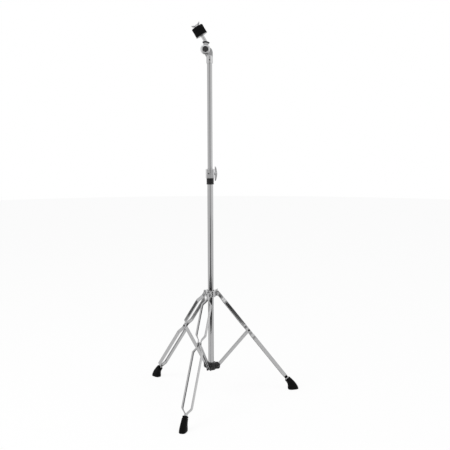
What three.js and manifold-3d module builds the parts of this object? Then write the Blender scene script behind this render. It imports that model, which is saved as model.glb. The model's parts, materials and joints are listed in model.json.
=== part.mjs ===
// Folding cymbal stand: a two-stage column on three pinched-strip legs, with a toothed tilter on top.
// Millimetres, +Z up. The origin lies on the floor, in the middle of the rectangle that the stand covers.

import * as THREE from 'three';
import { mergeVertices } from 'three/addons/utils/BufferGeometryUtils.js';
import Module from 'manifold-3d';

const wasm = await Module();
wasm.setup();

// Fits and fineness
const runningGap = 0.3;
const overrun = 2;
const weldDistance = 0.00001;
const roundSides = 24;
const smallSides = 10;
const hexSides = 6;
const cornerSteps = 2;
const roundSteps = 12;
const degree = Math.PI / 180;

// Headings around the column
const legHeadings = { front: -90 * degree, right: 30 * degree, left: 150 * degree };
const fittingHeading = 16.7 * degree;
const hubBoltHeading = 90 * degree;

// Column tubes
const lowerTubeRadius = 11.1;
const upperTubeRadius = 9.525;
const tubeWall = 1.2;
const lowerTubeTop = 868;
const upperTubeInsertion = 170;
const socketBottom = 1276;

// Leg linkage: along runs up a leg from the floor, across points outwards and up from its centre line
const legLean = 37.8 * degree;
const legLength = 523.6;
const kneeAlong = 324.1;
const hubPivotAcross = -2;
const kneeAcross = 1.5;
const hubPivotRadius = 26;
const bracePivotRadius = 25.5;
const bracePivotHeight = 123.5;

// Leg strips: stamped channels with the open side inwards
const stripWidth = 14;
const stripMetal = 1.6;
const stripHeight = 5;
const stripEndHeight = 4.4;
const loopInside = 15;
const pinchInside = 0.2;
const topPinchLength = 21;
const kneePinchHalf = 10;
const shoePinchAbove = 4;
const bendLength = 26;
const bendSteps = 4;
const stripEndInFoot = 22;

// Braces
const braceWidth = 12.5;
const braceThickness = 8;
const braceMetal = 1.5;

// Rivets
const rivetRadius = 2.5;
const rivetHeadRadius = 4.5;
const rivetHeadHeight = 1.8;
const rivetCrownShare = 0.62;
const blindRivetRadius = 1.5;
const blindRivetHeadRadius = 3;
const blindRivetHeadHeight = 0.9;
const blindRivetInside = 1;
const closingClearance = 1.35;
const sideClearance = 0.6;

// Cast ears that hold a leg or a brace
const earCorner = 7;
const castChamfer = 1.2;

// Upper hub, which slides on the lower tube
const hubHeight = 24;
const hubBelowPivot = 12.5;
const hubWall = 5;
const hubBushWall = 1.25;
const hubBushGap = 0.75;
const hubEarWall = 3.6;
const hubEarBeyondPivot = 6;
const hubEarBelowPivot = 9;
const bossRadius = 7.5;
const bossLength = 6.6;

// Lower hub, fixed to the foot of the lower tube
const lowerHubHeight = 28;
const lowerHubBelowPivot = 11.5;
const lowerHubFloor = 5;
const lowerHubWall = 6;
const lowerEarWall = 4.2;
const lowerEarBeyondPivot = 8;
const lowerEarAbovePivot = 13.5;
const lowerEarBelowPivot = 10;
const blindRivetAbovePivot = 9.5;

// Rubber feet
const footTopAlong = 57;
const footWallDepth = 2.6;
const footWallWidth = 3.2;
const footPocketGap = 0.4;
const footGroove = 1.1;
const soleInward = 9.5;
const soleLength = 43;
const soleWidth = 27;
const footSides = 18;
const footSquareness = 2.7;
const footBowShare = 0.6;

// Height clamp
const clampHeight = 34;
const clampOnLowerTube = 13;
const clampWall = 3.1;
const clampEarProud = 1;
const clampEarBeyondBolt = 7.4;
const clampBoltClearance = 1.8;
const clampSlit = 2;
const clampCorner = 5;
const bushWall = 2.4;
const bandHeight = 23.7;
const bandWall = 2.3;
const bandGroove = 0.9;
const bandGrooveShare = 0.33;
const clampPinRadius = 2.2;
const clampPinLength = 3.4;
const clampPinAside = 5.6;

// Wing bolts and wing nuts: span from tip to tip, and the bar's middle and tips above the seat
const boltRadius = 3;
const wingThickness = 5;
const wingCurve = 1.7;
const wingTipSquareness = 8;
const stemTaperShare = 0.82;
const clampWings = { span: 54, centre: 5.6, rise: -3.4, root: 8, tip: 6.5 };
const hubWings = { span: 40, centre: 4.5, rise: 11, root: 7, tip: 9 };
const tilterWings = { span: 42, centre: 4.5, rise: 11, root: 7, tip: 9 };
const topWings = { span: 34, centre: 4, rise: 7, root: 6, tip: 7.5 };
const clampStem = { radius: 6, height: 9.5 };
const hubStem = { radius: 6, height: 9 };
const tilterStem = { radius: 6.5, height: 10 };
const topStem = { radius: 7, height: 8 };
const hubWingTurn = 60 * degree;

// Tilter castings
const tilterOffset = 15;
const tilterAboveSocket = 51;
const tilterLean = 31 * degree;
const socketWall = 2.4;
const socketHeight = 27.5;
const socketRoof = 5;
const discRadius = 18.5;
const discThickness = 8;
const toothCount = 24;
const toothHeight = 1.2;
const toothRingWidth = 7.6;
const toothEdge = 0.9;
const toothRoot = 0.6;
const castingHalf = 7;
const neckTopAngle = 18 * degree;
const neckFootAngle = 261 * degree;
const neckShoulder = 10;
const shoulderRise = 5.5;
const shoulderClearance = 0.8;
const shoulderNearAngle = 8 * degree;
const shoulderFarAngle = 65 * degree;
const shoulderSteps = 4;
const saddleThickness = 4.2;
const headRecessRadius = 10.5;
const headRecessDepth = 4;
const boltHeadRadius = 7.4;
const boltHeadHeight = 5.2;
const tilterBoltBehind = 14;
const washerRadius = 7.8;
const washerThickness = 1.4;
const crossPinRadius = 2.2;
const crossPinRise = 12;

// Cymbal seat on the tilter arm
const rodRadius = 6.4;
const threadRadius = 3.9;
const seatAlong = 48;
const cupThickness = 2.6;
const cupLip = 1;
const feltRadius = 22;
const feltThickness = 16.3;
const feltEdge = 1.6;
const sleeveWall = 2;
const sleeveClearance = 0.5;
const threadAboveFelts = 7.6;

// Places worked out from the sizes above
const hubPivotHeight = legLength * Math.cos(legLean) + hubPivotAcross * Math.sin(legLean);
const legLineHubRadius = hubPivotRadius - hubPivotAcross * Math.cos(legLean);
const legLineFloorRadius = legLineHubRadius + legLength * Math.sin(legLean);
const kneeRadius = legLineFloorRadius - kneeAlong * Math.sin(legLean) + kneeAcross * Math.cos(legLean);
const kneeHeight = kneeAlong * Math.cos(legLean) + kneeAcross * Math.sin(legLean);
const hubBottom = hubPivotHeight - hubBelowPivot;
const hubTop = hubBottom + hubHeight;
const hubBore = lowerTubeRadius + hubBushGap + hubBushWall + runningGap;
const hubRadius = hubBore + hubWall;
const hubSlotHalf = pinchInside + stripEndHeight + sideClearance;
const hubEarHalf = hubSlotHalf + hubEarWall;
const bossReach = hubRadius + bossLength;
const lowerHubBottom = bracePivotHeight - lowerHubBelowPivot;
const lowerHubTop = lowerHubBottom + lowerHubHeight;
const lowerHubRadius = lowerTubeRadius + runningGap + lowerHubWall;
const lowerSlotHalf = braceThickness / 2 + runningGap;
const lowerEarHalf = lowerSlotHalf + lowerEarWall;
const blindRivetHeight = bracePivotHeight + blindRivetAbovePivot;
const clampBottom = lowerTubeTop - clampOnLowerTube;
const clampTop = clampBottom + clampHeight;
const clampMiddle = (clampTop + clampBottom) / 2;
const bushBore = upperTubeRadius + runningGap;
const bushSeat = bushBore + bushWall + runningGap;
const clampRadius = bushSeat + clampWall;
const clampEarHalf = clampRadius + clampEarProud;
const clampBoltForward = bushSeat + boltRadius + runningGap + clampBoltClearance;
const clampEarFront = clampBoltForward + clampEarBeyondBolt;
const socketRadius = upperTubeRadius + runningGap + socketWall;
const tilterHeight = socketBottom + tilterAboveSocket;
const crossPinHeight = socketBottom + crossPinRise;
const toothOuter = discRadius - toothEdge;
const toothInner = toothOuter - toothRingWidth;
const shoulderRadius = discRadius + shoulderRise;
const discFace = runningGap / 2 + toothHeight;
const sleeveRadius = threadRadius + runningGap + sleeveWall;
const feltBottom = seatAlong + cupThickness + 2 * runningGap;
const upperFeltBottom = feltBottom + feltThickness + runningGap;
const stackTop = upperFeltBottom + feltThickness;

// Surfaces
function surface(color, metalness, roughness) {
  return new THREE.MeshStandardMaterial({ color, metalness, roughness });
}

const chromeTube = () => surface(0xbcbec2, 1, 0.12);
const chromeCasting = () => surface(0xc4c6c9, 1, 0.2);
const platedStrip = () => surface(0xa9abaf, 1, 0.28);
const platedFastener = () => surface(0xb4b6ba, 1, 0.25);
const darkSteel = () => surface(0x2c2d30, 0.8, 0.45);
const blackRubber = () => surface(0x0c0c0d, 0, 0.75);
const blackPlastic = () => surface(0x17181a, 0, 0.45);
const blackFelt = () => surface(0x0a0a0b, 0, 0.95);

// A geometry with shared corners joined and collapsed triangles dropped
function weld(geometry) {
  const bare = geometry.clone();
  bare.deleteAttribute('normal');
  bare.deleteAttribute('uv');
  const welded = mergeVertices(bare, weldDistance);
  const index = welded.index.array;
  const kept = [];
  for (let i = 0; i < index.length; i += 3) {
    const [a, b, c] = [index[i], index[i + 1], index[i + 2]];
    if (a !== b && b !== c && c !== a) kept.push(a, b, c);
  }
  welded.setIndex(kept);
  return welded;
}

function toSolid(geometry) {
  const welded = weld(geometry);
  return new wasm.Manifold(new wasm.Mesh({
    numProp: 3,
    vertProperties: new Float32Array(welded.attributes.position.array),
    triVerts: new Uint32Array(welded.index.array),
  }));
}

function toGeometry(solid) {
  const mesh = solid.getMesh();
  const geometry = new THREE.BufferGeometry();
  geometry.setAttribute('position', new THREE.BufferAttribute(new Float32Array(mesh.vertProperties), 3));
  geometry.setIndex(new THREE.BufferAttribute(new Uint32Array(mesh.triVerts), 1));
  geometry.computeVertexNormals();
  return geometry;
}

function join(...geometries) {
  return toGeometry(geometries.map(toSolid).reduce((sum, part) => sum.add(part)));
}

function cut(body, ...tools) {
  return toGeometry(tools.map(toSolid).reduce((rest, tool) => rest.subtract(tool), toSolid(body)));
}

function overlap(first, second) {
  return toGeometry(toSolid(first).intersect(toSolid(second)));
}

// Turned shape around Z from [radius, height] pairs that run outwards, up and back in
function turned(profile, sides = roundSides) {
  const points = profile.map(([radius, height]) => new THREE.Vector2(radius, height));
  return new THREE.LatheGeometry(points, sides).rotateX(Math.PI / 2);
}

function rod(radius, from, to, sides = roundSides) {
  return turned([[0, from], [radius, from], [radius, to], [0, to]], sides);
}

function ring(inner, outer, from, to, sides = roundSides) {
  return turned([[inner, from], [outer, from], [outer, to], [inner, to], [inner, from]], sides);
}

// Flat shape drawn in X and Z, thickened between two places along Y
function slab(shape, fromY, toY, steps = cornerSteps) {
  const options = { depth: toY - fromY, bevelEnabled: false, curveSegments: steps };
  return new THREE.ExtrudeGeometry(shape, options).rotateX(Math.PI / 2).translate(0, toY, 0);
}

// Round plate around the Y axis
function disc(radius, fromY, toY, steps = roundSteps) {
  const shape = new THREE.Shape();
  shape.absarc(0, 0, radius, 0, Math.PI * 2);
  return slab(shape, fromY, toY, steps);
}

const alongY = (geometry) => geometry.rotateX(-Math.PI / 2);
const alongX = (geometry) => geometry.rotateY(Math.PI / 2);
const crossHole = (radius, x, z, half) => alongY(rod(radius, -half, half, smallSides)).translate(x, 0, z);

// Rectangle from (x0, z0) to (x1, z1) whose corners at x1, and at x0 if both is set, are rounded
function roundedBox(x0, z0, x1, z1, radius, both = false) {
  const shape = new THREE.Shape();
  const near = both ? radius : 0;
  shape.moveTo(x0 + near, z0);
  shape.lineTo(x1 - radius, z0);
  shape.absarc(x1 - radius, z0 + radius, radius, -Math.PI / 2, 0);
  shape.absarc(x1 - radius, z1 - radius, radius, 0, Math.PI / 2);
  shape.lineTo(x0 + near, z1);
  if (both) {
    shape.absarc(x0 + radius, z1 - radius, radius, Math.PI / 2, Math.PI);
    shape.absarc(x0 + radius, z0 + radius, radius, Math.PI, Math.PI * 1.5);
  }
  return shape;
}

function piece(name, geometry, material) {
  const mesh = new THREE.Mesh(geometry, material);
  mesh.name = name;
  return mesh;
}

function group(...children) {
  const holder = new THREE.Group();
  holder.add(...children);
  return holder;
}

const kneeInside = braceThickness / 2 + runningGap;

// Places along a strip, from the foot up: [along, gap to the middle plane, strip height]
function stripStations() {
  const shoeTop = footTopAlong + shoePinchAbove;
  const hubEnd = legLength - topPinchLength;
  const kneeTop = kneeAlong + kneePinchHalf;
  const kneeFoot = kneeAlong - kneePinchHalf;
  return [
    [footTopAlong - stripEndInFoot, pinchInside, stripEndHeight],
    [shoeTop, pinchInside, stripEndHeight],
    [shoeTop + bendLength, loopInside, stripHeight],
    [kneeFoot - bendLength, loopInside, stripHeight],
    [kneeFoot, kneeInside, stripMetal],
    [kneeTop, kneeInside, stripMetal],
    [kneeTop + bendLength, loopInside, stripHeight],
    [hubEnd - bendLength, loopInside, stripHeight],
    [hubEnd, pinchInside, stripEndHeight],
    [legLength + stripWidth, pinchInside, stripEndHeight],
  ];
}

// The stations with each bend filled in as an S-curve
function bentStations() {
  const stations = stripStations();
  const path = [stations[0]];
  for (let i = 1; i < stations.length; i += 1) {
    const [z0, gap0, height0] = stations[i - 1];
    const [z1, gap1, height1] = stations[i];
    const steps = gap0 === gap1 ? 1 : bendSteps;
    for (let k = 1; k <= steps; k += 1) {
      const share = k / steps;
      const ease = share * share * (3 - 2 * share);
      path.push([z0 + (z1 - z0) * share, gap0 + (gap1 - gap0) * ease, height0 + (height1 - height0) * ease]);
    }
  }
  return path;
}

// Band seen along X, between two offsets from the middle plane, thickened across the strip
function stripBand(path, side, near, far, width) {
  const inner = path.map((station) => new THREE.Vector2(side * near(station), station[0]));
  const outer = path.map((station) => new THREE.Vector2(side * far(station), station[0]));
  const outline = new THREE.Shape([...inner, ...outer.reverse()]);
  const band = new THREE.ExtrudeGeometry(outline, { depth: width, bevelEnabled: false });
  band.translate(0, 0, -width / 2);
  const turn = new THREE.Matrix4().makeBasis(
    new THREE.Vector3(0, 1, 0),
    new THREE.Vector3(0, 0, 1),
    new THREE.Vector3(1, 0, 0),
  );
  return band.applyMatrix4(turn);
}

// One stamped strip of a leg: a channel that flattens where the brace is riveted between the pair
function legStrip(side) {
  const path = bentStations();
  const body = stripBand(path, side, ([, gap]) => gap, ([, gap, height]) => gap + height, stripWidth);
  const depth = (height) => (height > stripMetal ? height - stripMetal : -runningGap);
  const hollow = stripBand(
    path,
    side,
    ([, gap]) => gap - overrun,
    ([, gap, height]) => gap + depth(height),
    stripWidth - 2 * stripMetal,
  );
  const half = stripWidth / 2;
  const reach = loopInside + stripHeight + overrun;
  const outline = roundedBox(-half, footTopAlong - stripEndInFoot, half, legLength + half, half, true);
  const rounded = overlap(cut(body, hollow), slab(outline, -reach, reach));
  return cut(
    rounded,
    crossHole(rivetRadius + runningGap, hubPivotAcross, legLength, reach),
    crossHole(rivetRadius + runningGap, kneeAcross, kneeAlong, reach),
  );
}

// Rivet along Y with a domed head outside each half width
function rivet(half) {
  const end = half + rivetHeadHeight;
  const dome = rivetHeadRadius * rivetCrownShare;
  const profile = [
    [0, -end],
    [dome, -end],
    [rivetHeadRadius, -half],
    [rivetRadius, -half],
    [rivetRadius, half],
    [rivetHeadRadius, half],
    [dome, end],
    [0, end],
  ];
  return alongY(turned(profile, smallSides));
}

// Closed skin over rings of equal length, with flat ends; the first ring lies below the last
function loft(rings) {
  const sides = rings[0].length;
  const corners = rings.flat();
  const triangles = [];
  for (let level = 0; level + 1 < rings.length; level += 1) {
    for (let i = 0; i < sides; i += 1) {
      const a = level * sides + i;
      const b = level * sides + ((i + 1) % sides);
      triangles.push(a, b, b + sides, a, b + sides, a + sides);
    }
  }
  const top = (rings.length - 1) * sides;
  for (let i = 1; i + 1 < sides; i += 1) {
    triangles.push(0, i + 1, i);
    triangles.push(top, top + i, top + i + 1);
  }
  const geometry = new THREE.BufferGeometry();
  geometry.setAttribute('position', new THREE.Float32BufferAttribute(corners.flatMap((p) => p.toArray()), 3));
  geometry.setIndex(triangles);
  return geometry;
}

// Rubber foot: [share of the way up, share of the swell from neck to sole, cut-in as a share of the groove]
const footShares = [
  [0, 0.94, 0],
  [0.05, 1, 0],
  [0.2, 0.9, 0],
  [0.4, 0.62, 0],
  [0.6, 0.34, 0],
  [0.8, 0.12, 0],
  [0.87, 0.07, 0],
  [0.89, 0.06, 1],
  [0.93, 0.04, 1],
  [0.95, 0.03, 0],
  [0.985, 0, 0],
  [1, -0.06, 0],
];

function footRings() {
  const neckDepth = stripWidth + 2 * (footPocketGap + footWallDepth);
  const neckWidth = 2 * (pinchInside + stripEndHeight + footPocketGap + footWallWidth);
  const soleRadius = legLineFloorRadius - soleInward;
  const neckRadius = legLineFloorRadius - footTopAlong * Math.sin(legLean);
  const neckHeight = footTopAlong * Math.cos(legLean);
  return footShares.map(([share, swell, groove]) => {
    const bowOut = soleInward * Math.sin(share * Math.PI) * footBowShare;
    const radius = soleRadius + bowOut + (neckRadius - soleRadius) * share;
    const height = neckHeight * share;
    const lean = legLean * share * share;
    const depth = (neckDepth + (soleLength - neckDepth) * swell) / 2 - groove * footGroove;
    const width = (neckWidth + (soleWidth - neckWidth) * swell) / 2 - groove * footGroove;
    const corners = [];
    for (let i = 0; i < footSides; i += 1) {
      const angle = (i / footSides) * 2 * Math.PI;
      const power = 2 / footSquareness;
      const u = Math.sign(Math.cos(angle)) * Math.abs(Math.cos(angle)) ** power * depth;
      const v = Math.sign(Math.sin(angle)) * Math.abs(Math.sin(angle)) ** power * width;
      corners.push(new THREE.Vector3(radius + u * Math.cos(lean), v, height + u * Math.sin(lean)));
    }
    return corners;
  });
}

function foot() {
  const half = stripWidth / 2 + footPocketGap;
  const side = pinchInside + stripEndHeight + footPocketGap;
  const bottom = footTopAlong - stripEndInFoot - footPocketGap;
  const pocket = new THREE.BoxGeometry(2 * half, 2 * side, footTopAlong + overrun - bottom);
  pocket.translate(0, 0, (footTopAlong + overrun + bottom) / 2);
  pocket.rotateY(-legLean).translate(legLineFloorRadius, 0, 0);
  return cut(loft(footRings()), pocket);
}

// Brace: a channel from its hub pivot at the origin up to the knee, open away from the column
const braceLength = Math.hypot(kneeRadius - bracePivotRadius, kneeHeight - bracePivotHeight);
const braceLean = Math.atan2(kneeRadius - bracePivotRadius, kneeHeight - bracePivotHeight);

function brace() {
  const half = braceWidth / 2;
  const side = braceThickness / 2;
  const body = slab(roundedBox(-half, -half, half, braceLength + half, half, true), -side, side);
  const inside = braceThickness - 2 * braceMetal;
  const hollow = new THREE.BoxGeometry(braceWidth, inside, braceLength + 2 * braceWidth);
  hollow.translate(braceMetal, 0, braceLength / 2);
  return cut(
    body,
    hollow,
    crossHole(rivetRadius + runningGap, 0, 0, braceThickness),
    crossHole(rivetRadius + runningGap, 0, braceLength, braceThickness),
  );
}

// Pair of ears for one leg or brace, as a block and the slot and rivet hole to cut from it
function earBlock(inner, reach, bottom, top, half) {
  return slab(roundedBox(inner, bottom, reach, top, earCorner), -half, half);
}

function earSlot(floor, reach, bottom, top, half) {
  const shape = roundedBox(floor, bottom - overrun, reach + overrun, top + overrun, earCorner);
  return slab(shape, -half, half);
}

function chamferedRing(inner, outer, bottom, top) {
  return turned([
    [inner, bottom],
    [outer - castChamfer, bottom],
    [outer, bottom + castChamfer],
    [outer, top - castChamfer],
    [outer - castChamfer, top],
    [inner, top],
    [inner, bottom],
  ]);
}

const eachHeading = (build) => Object.values(legHeadings).map((heading) => build().rotateZ(heading));

function upperHub() {
  const earBottom = hubPivotHeight - hubEarBelowPivot;
  const earReach = hubPivotRadius + hubEarBeyondPivot;
  const holeRadius = rivetRadius + closingClearance;
  const boss = alongX(rod(bossRadius, hubBore, bossReach)).translate(0, 0, hubPivotHeight);
  const bossHole = alongX(rod(boltRadius + runningGap, 0, bossReach + overrun, smallSides));
  return cut(
    join(
      chamferedRing(hubBore, hubRadius, hubBottom, hubTop),
      ...eachHeading(() => earBlock(hubBore + castChamfer, earReach, earBottom, hubTop, hubEarHalf)),
      boss.rotateZ(hubBoltHeading),
    ),
    rod(hubBore, hubBottom - overrun, hubTop + overrun),
    ...eachHeading(() => earSlot(hubRadius, earReach, earBottom, hubTop, hubSlotHalf)),
    ...eachHeading(() => crossHole(holeRadius, hubPivotRadius, hubPivotHeight, 2 * hubEarHalf)),
    bossHole.translate(0, 0, hubPivotHeight).rotateZ(hubBoltHeading),
  );
}

function hubBush() {
  return ring(lowerTubeRadius + hubBushGap, hubBore - runningGap, hubBottom, hubTop);
}

function lowerHub() {
  const earTop = bracePivotHeight + lowerEarAbovePivot;
  const earBottom = bracePivotHeight - lowerEarBelowPivot;
  const earReach = bracePivotRadius + lowerEarBeyondPivot;
  const slotFloor = bracePivotRadius - braceWidth / 2 - 2 * runningGap;
  const tubeSeat = lowerHubBottom + lowerHubFloor;
  const holeRadius = rivetRadius + runningGap;
  const rivetHole = alongX(rod(blindRivetRadius + runningGap, 0, lowerHubRadius + overrun, smallSides));
  return cut(
    join(
      chamferedRing(lowerTubeRadius - overrun, lowerHubRadius, lowerHubBottom, lowerHubTop),
      ...eachHeading(() => earBlock(lowerTubeRadius, earReach, earBottom, earTop, lowerEarHalf)),
      rod(lowerTubeRadius, lowerHubBottom, tubeSeat),
    ),
    rod(lowerTubeRadius + runningGap, tubeSeat, lowerHubTop + overrun),
    ...eachHeading(() => earSlot(slotFloor, earReach, earBottom, earTop, lowerSlotHalf)),
    ...eachHeading(() => crossHole(holeRadius, bracePivotRadius, bracePivotHeight, 2 * lowerEarHalf)),
    rivetHole.translate(0, 0, blindRivetHeight).rotateZ(hubBoltHeading),
  );
}

function lowerTube() {
  const bottom = lowerHubBottom + lowerHubFloor + runningGap;
  const inner = lowerTubeRadius - tubeWall;
  const hole = alongX(rod(blindRivetRadius + runningGap, 0, lowerTubeRadius + overrun, smallSides));
  return cut(
    ring(inner, lowerTubeRadius, bottom, lowerTubeTop),
    hole.translate(0, 0, blindRivetHeight).rotateZ(hubBoltHeading),
  );
}

// Blind rivet that ties the lower hub to the tube, from just inside the tube to a head outside
function lowerHubRivet() {
  const start = lowerTubeRadius - tubeWall - blindRivetInside;
  const seat = lowerHubRadius + runningGap;
  const end = seat + blindRivetHeadHeight;
  const profile = [
    [0, start],
    [blindRivetRadius, start],
    [blindRivetRadius, seat],
    [blindRivetHeadRadius, seat],
    [blindRivetHeadRadius * rivetCrownShare, end],
    [0, end],
  ];
  return alongX(turned(profile, smallSides)).translate(0, 0, blindRivetHeight).rotateZ(hubBoltHeading);
}

function upperTube() {
  const bottom = clampTop - upperTubeInsertion;
  const top = socketBottom + socketHeight - socketRoof - runningGap;
  return cut(
    ring(upperTubeRadius - tubeWall, upperTubeRadius, bottom, top),
    crossHole(crossPinRadius + runningGap, 0, crossPinHeight, 2 * upperTubeRadius).rotateZ(fittingHeading),
  );
}

// Height clamp: a split collar whose ears face the front and are drawn together by the wing bolt
function clampOutline() {
  const cornerAside = clampEarHalf - clampCorner;
  const cornerForward = -clampEarFront + clampCorner;
  const shape = new THREE.Shape();
  shape.moveTo(-clampEarHalf, 0);
  shape.lineTo(-clampEarHalf, cornerForward);
  shape.absarc(-cornerAside, cornerForward, clampCorner, Math.PI, Math.PI * 1.5);
  shape.absarc(cornerAside, cornerForward, clampCorner, -Math.PI / 2, 0);
  shape.lineTo(clampEarHalf, 0);
  return shape;
}

function heightClamp() {
  const block = new THREE.ExtrudeGeometry(clampOutline(), {
    depth: clampHeight,
    bevelEnabled: false,
    curveSegments: cornerSteps,
  });
  const slit = new THREE.BoxGeometry(clampSlit, clampEarFront + overrun, clampHeight + 2 * overrun);
  slit.translate(0, -(clampEarFront + overrun) / 2, clampMiddle);
  const boltHole = alongX(rod(boltRadius + runningGap, -2 * clampEarHalf, 2 * clampEarHalf, smallSides));
  const pinMouth = -clampEarFront - overrun;
  const pinEnd = clampPinLength - clampEarFront;
  const pinHole = alongY(rod(clampPinRadius + runningGap, pinMouth, pinEnd, smallSides));
  return cut(
    join(chamferedRing(bushBore, clampRadius, clampBottom, clampTop), block.translate(0, 0, clampBottom)),
    rod(lowerTubeRadius + runningGap, clampBottom - overrun, lowerTubeTop + runningGap),
    rod(bushSeat, lowerTubeTop, clampTop + overrun),
    slit,
    boltHole.translate(0, -clampBoltForward, clampMiddle),
    pinHole.translate(-clampPinAside, 0, clampMiddle),
  );
}

function clampPin() {
  const front = -clampEarFront + runningGap;
  const pin = alongY(rod(clampPinRadius, front, front + clampPinLength - 2 * runningGap, smallSides));
  return pin.translate(-clampPinAside, 0, clampMiddle);
}

function clampBush() {
  return ring(bushBore, bushBore + bushWall, lowerTubeTop + 2 * runningGap, clampTop);
}

function clampBand() {
  const top = clampBottom - runningGap;
  const bottom = top - bandHeight;
  const inner = lowerTubeRadius + runningGap;
  const outer = inner + bandWall;
  const grooveMiddle = bottom + bandHeight * bandGrooveShare;
  return turned([
    [inner, bottom],
    [outer - bandGroove, bottom],
    [outer, bottom + bandGroove],
    [outer, grooveMiddle - bandGroove],
    [outer - bandGroove, grooveMiddle],
    [outer, grooveMiddle + bandGroove],
    [outer, top - bandGroove],
    [outer - bandGroove, top],
    [inner, top],
    [inner, bottom],
  ]);
}

// Two wings in the XZ plane: a bar from tip to tip whose middle lies at centre and whose tips rise from it
const wingShares = [0, 0.3, 0.55, 0.75, 0.9, 0.97];

function wings({ span, centre, rise, root, tip }) {
  const side = (sign) => (share) => {
    const rounding = Math.sqrt(1 - share ** wingTipSquareness);
    const half = ((root + (tip - root) * share) / 2) * rounding;
    return new THREE.Vector2((share * span) / 2, centre + rise * share ** wingCurve + sign * half);
  };
  const mirrored = (point) => new THREE.Vector2(-point.x, point.y);
  const upper = wingShares.map(side(1));
  const lower = wingShares.map(side(-1));
  const end = side(1)(1);
  const right = [...lower, end, ...upper.slice().reverse()];
  const left = right.map(mirrored).reverse();
  const shape = new THREE.Shape([...right, ...left.slice(1, -1)]);
  return slab(shape, -wingThickness / 2, wingThickness / 2);
}

// Wing nut standing on the origin, its axis along Z
function wingNut(bore, stemRadius, stemHeight, form) {
  const stem = turned([
    [0, 0],
    [stemRadius, 0],
    [stemRadius * stemTaperShare, stemHeight],
    [0, stemHeight],
  ], smallSides);
  return cut(join(stem, wings(form)), rod(bore, -overrun, stemHeight + form.span, smallSides));
}

// Wing bolt with its shank below the origin, its axis along Z
function wingBolt(shankLength, stemRadius, stemHeight, form) {
  const stem = turned([
    [0, -shankLength],
    [boltRadius, -shankLength],
    [boltRadius, 0],
    [stemRadius, 0],
    [stemRadius * stemTaperShare, stemHeight],
    [0, stemHeight],
  ], smallSides);
  return join(stem, wings(form));
}

// Ring of radial teeth on the plane y = 0 side of a tilter disc, pointing towards -Y
function toothRing() {
  const rings = [];
  const count = 2 * toothCount;
  const edges = [[toothInner, false], [toothOuter, false], [toothOuter, true], [toothInner, true]];
  for (const [radius, isTop] of edges) {
    const loop = [];
    for (let i = 0; i < count; i += 1) {
      const crest = i % 2 ? 0 : -toothHeight;
      const angle = (i / count) * 2 * Math.PI;
      const y = isTop ? crest : toothRoot;
      loop.push(new THREE.Vector3(radius * Math.cos(angle), y, radius * Math.sin(angle)));
    }
    rings.push(loop);
  }
  const corners = rings.flat();
  const triangles = [];
  for (let level = 0; level < rings.length; level += 1) {
    const next = (level + 1) % rings.length;
    for (let i = 0; i < count; i += 1) {
      const j = (i + 1) % count;
      const [a, b, c, d] = [level * count + i, level * count + j, next * count + j, next * count + i];
      triangles.push(a, b, c, a, c, d);
    }
  }
  const geometry = new THREE.BufferGeometry();
  geometry.setAttribute('position', new THREE.Float32BufferAttribute(corners.flatMap((p) => p.toArray()), 3));
  geometry.setIndex(triangles);
  return geometry;
}

// Lower tilter casting seen from the front: a disc whose neck runs down its right side to the socket
function neckOutline() {
  const floor = socketBottom + socketHeight - tilterHeight;
  const left = tilterOffset - socketRadius;
  const right = tilterOffset + socketRadius;
  const shape = new THREE.Shape();
  shape.moveTo(left, floor - socketRoof);
  shape.lineTo(right, floor - socketRoof);
  shape.lineTo(right, floor + neckShoulder);
  shape.quadraticCurveTo(
    right - shoulderClearance,
    0,
    discRadius * Math.cos(neckTopAngle),
    discRadius * Math.sin(neckTopAngle),
  );
  shape.absarc(0, 0, discRadius, neckTopAngle, neckFootAngle);
  return shape;
}

function tilterSocket() {
  const top = socketBottom + socketHeight - tilterHeight;
  const bottom = socketBottom - tilterHeight;
  const bore = upperTubeRadius + runningGap;
  const cup = turned([
    [0, bottom],
    [socketRadius - castChamfer, bottom],
    [socketRadius, bottom + castChamfer],
    [socketRadius, top - castChamfer],
    [socketRadius - castChamfer, top],
    [0, top],
  ]).translate(tilterOffset, 0, 0);
  const frontNeck = cut(
    slab(neckOutline(), -castingHalf, castingHalf, roundSteps),
    disc(discRadius + shoulderClearance, -castingHalf - overrun, discFace),
  );
  return cut(
    join(
      cup,
      slab(neckOutline(), discFace, discThickness, roundSteps),
      frontNeck,
      toothRing().translate(0, discFace, 0),
    ),
    rod(bore, bottom - overrun, top - socketRoof).translate(tilterOffset, 0, 0),
    crossHole(boltRadius + runningGap, 0, 0, 2 * discThickness),
    crossHole(crossPinRadius + runningGap, tilterOffset, crossPinHeight - tilterHeight, 2 * socketRadius),
  );
}

// Part of a ring around the tilt axis, from near to far clockwise from the rod's direction
function shoulderSector(inner, outer) {
  const from = Math.PI / 2 - shoulderFarAngle;
  const to = Math.PI / 2 - shoulderNearAngle;
  const shape = new THREE.Shape();
  shape.absarc(0, 0, outer, from, to);
  shape.absarc(0, 0, inner, to, from, true);
  return shape;
}

function tilterArm() {
  const teeth = toothRing().rotateZ(Math.PI).translate(0, -discFace, 0);
  const nearShoulder = shoulderSector(discRadius - overrun, shoulderRadius);
  const farShoulder = shoulderSector(discRadius + shoulderClearance, shoulderRadius);
  const rodHole = rod(threadRadius + runningGap, discRadius, shoulderRadius + overrun, smallSides);
  return cut(
    join(
      disc(discRadius, -discThickness, -discFace),
      slab(nearShoulder, -discThickness, -discFace, shoulderSteps),
      slab(farShoulder, -2 * discFace, castingHalf, shoulderSteps),
      teeth,
    ),
    disc(headRecessRadius, -discThickness - overrun, -discThickness + headRecessDepth),
    crossHole(boltRadius + runningGap, 0, 0, 2 * discThickness),
    rodHole.translate(tilterOffset, 0, 0),
  );
}

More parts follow.
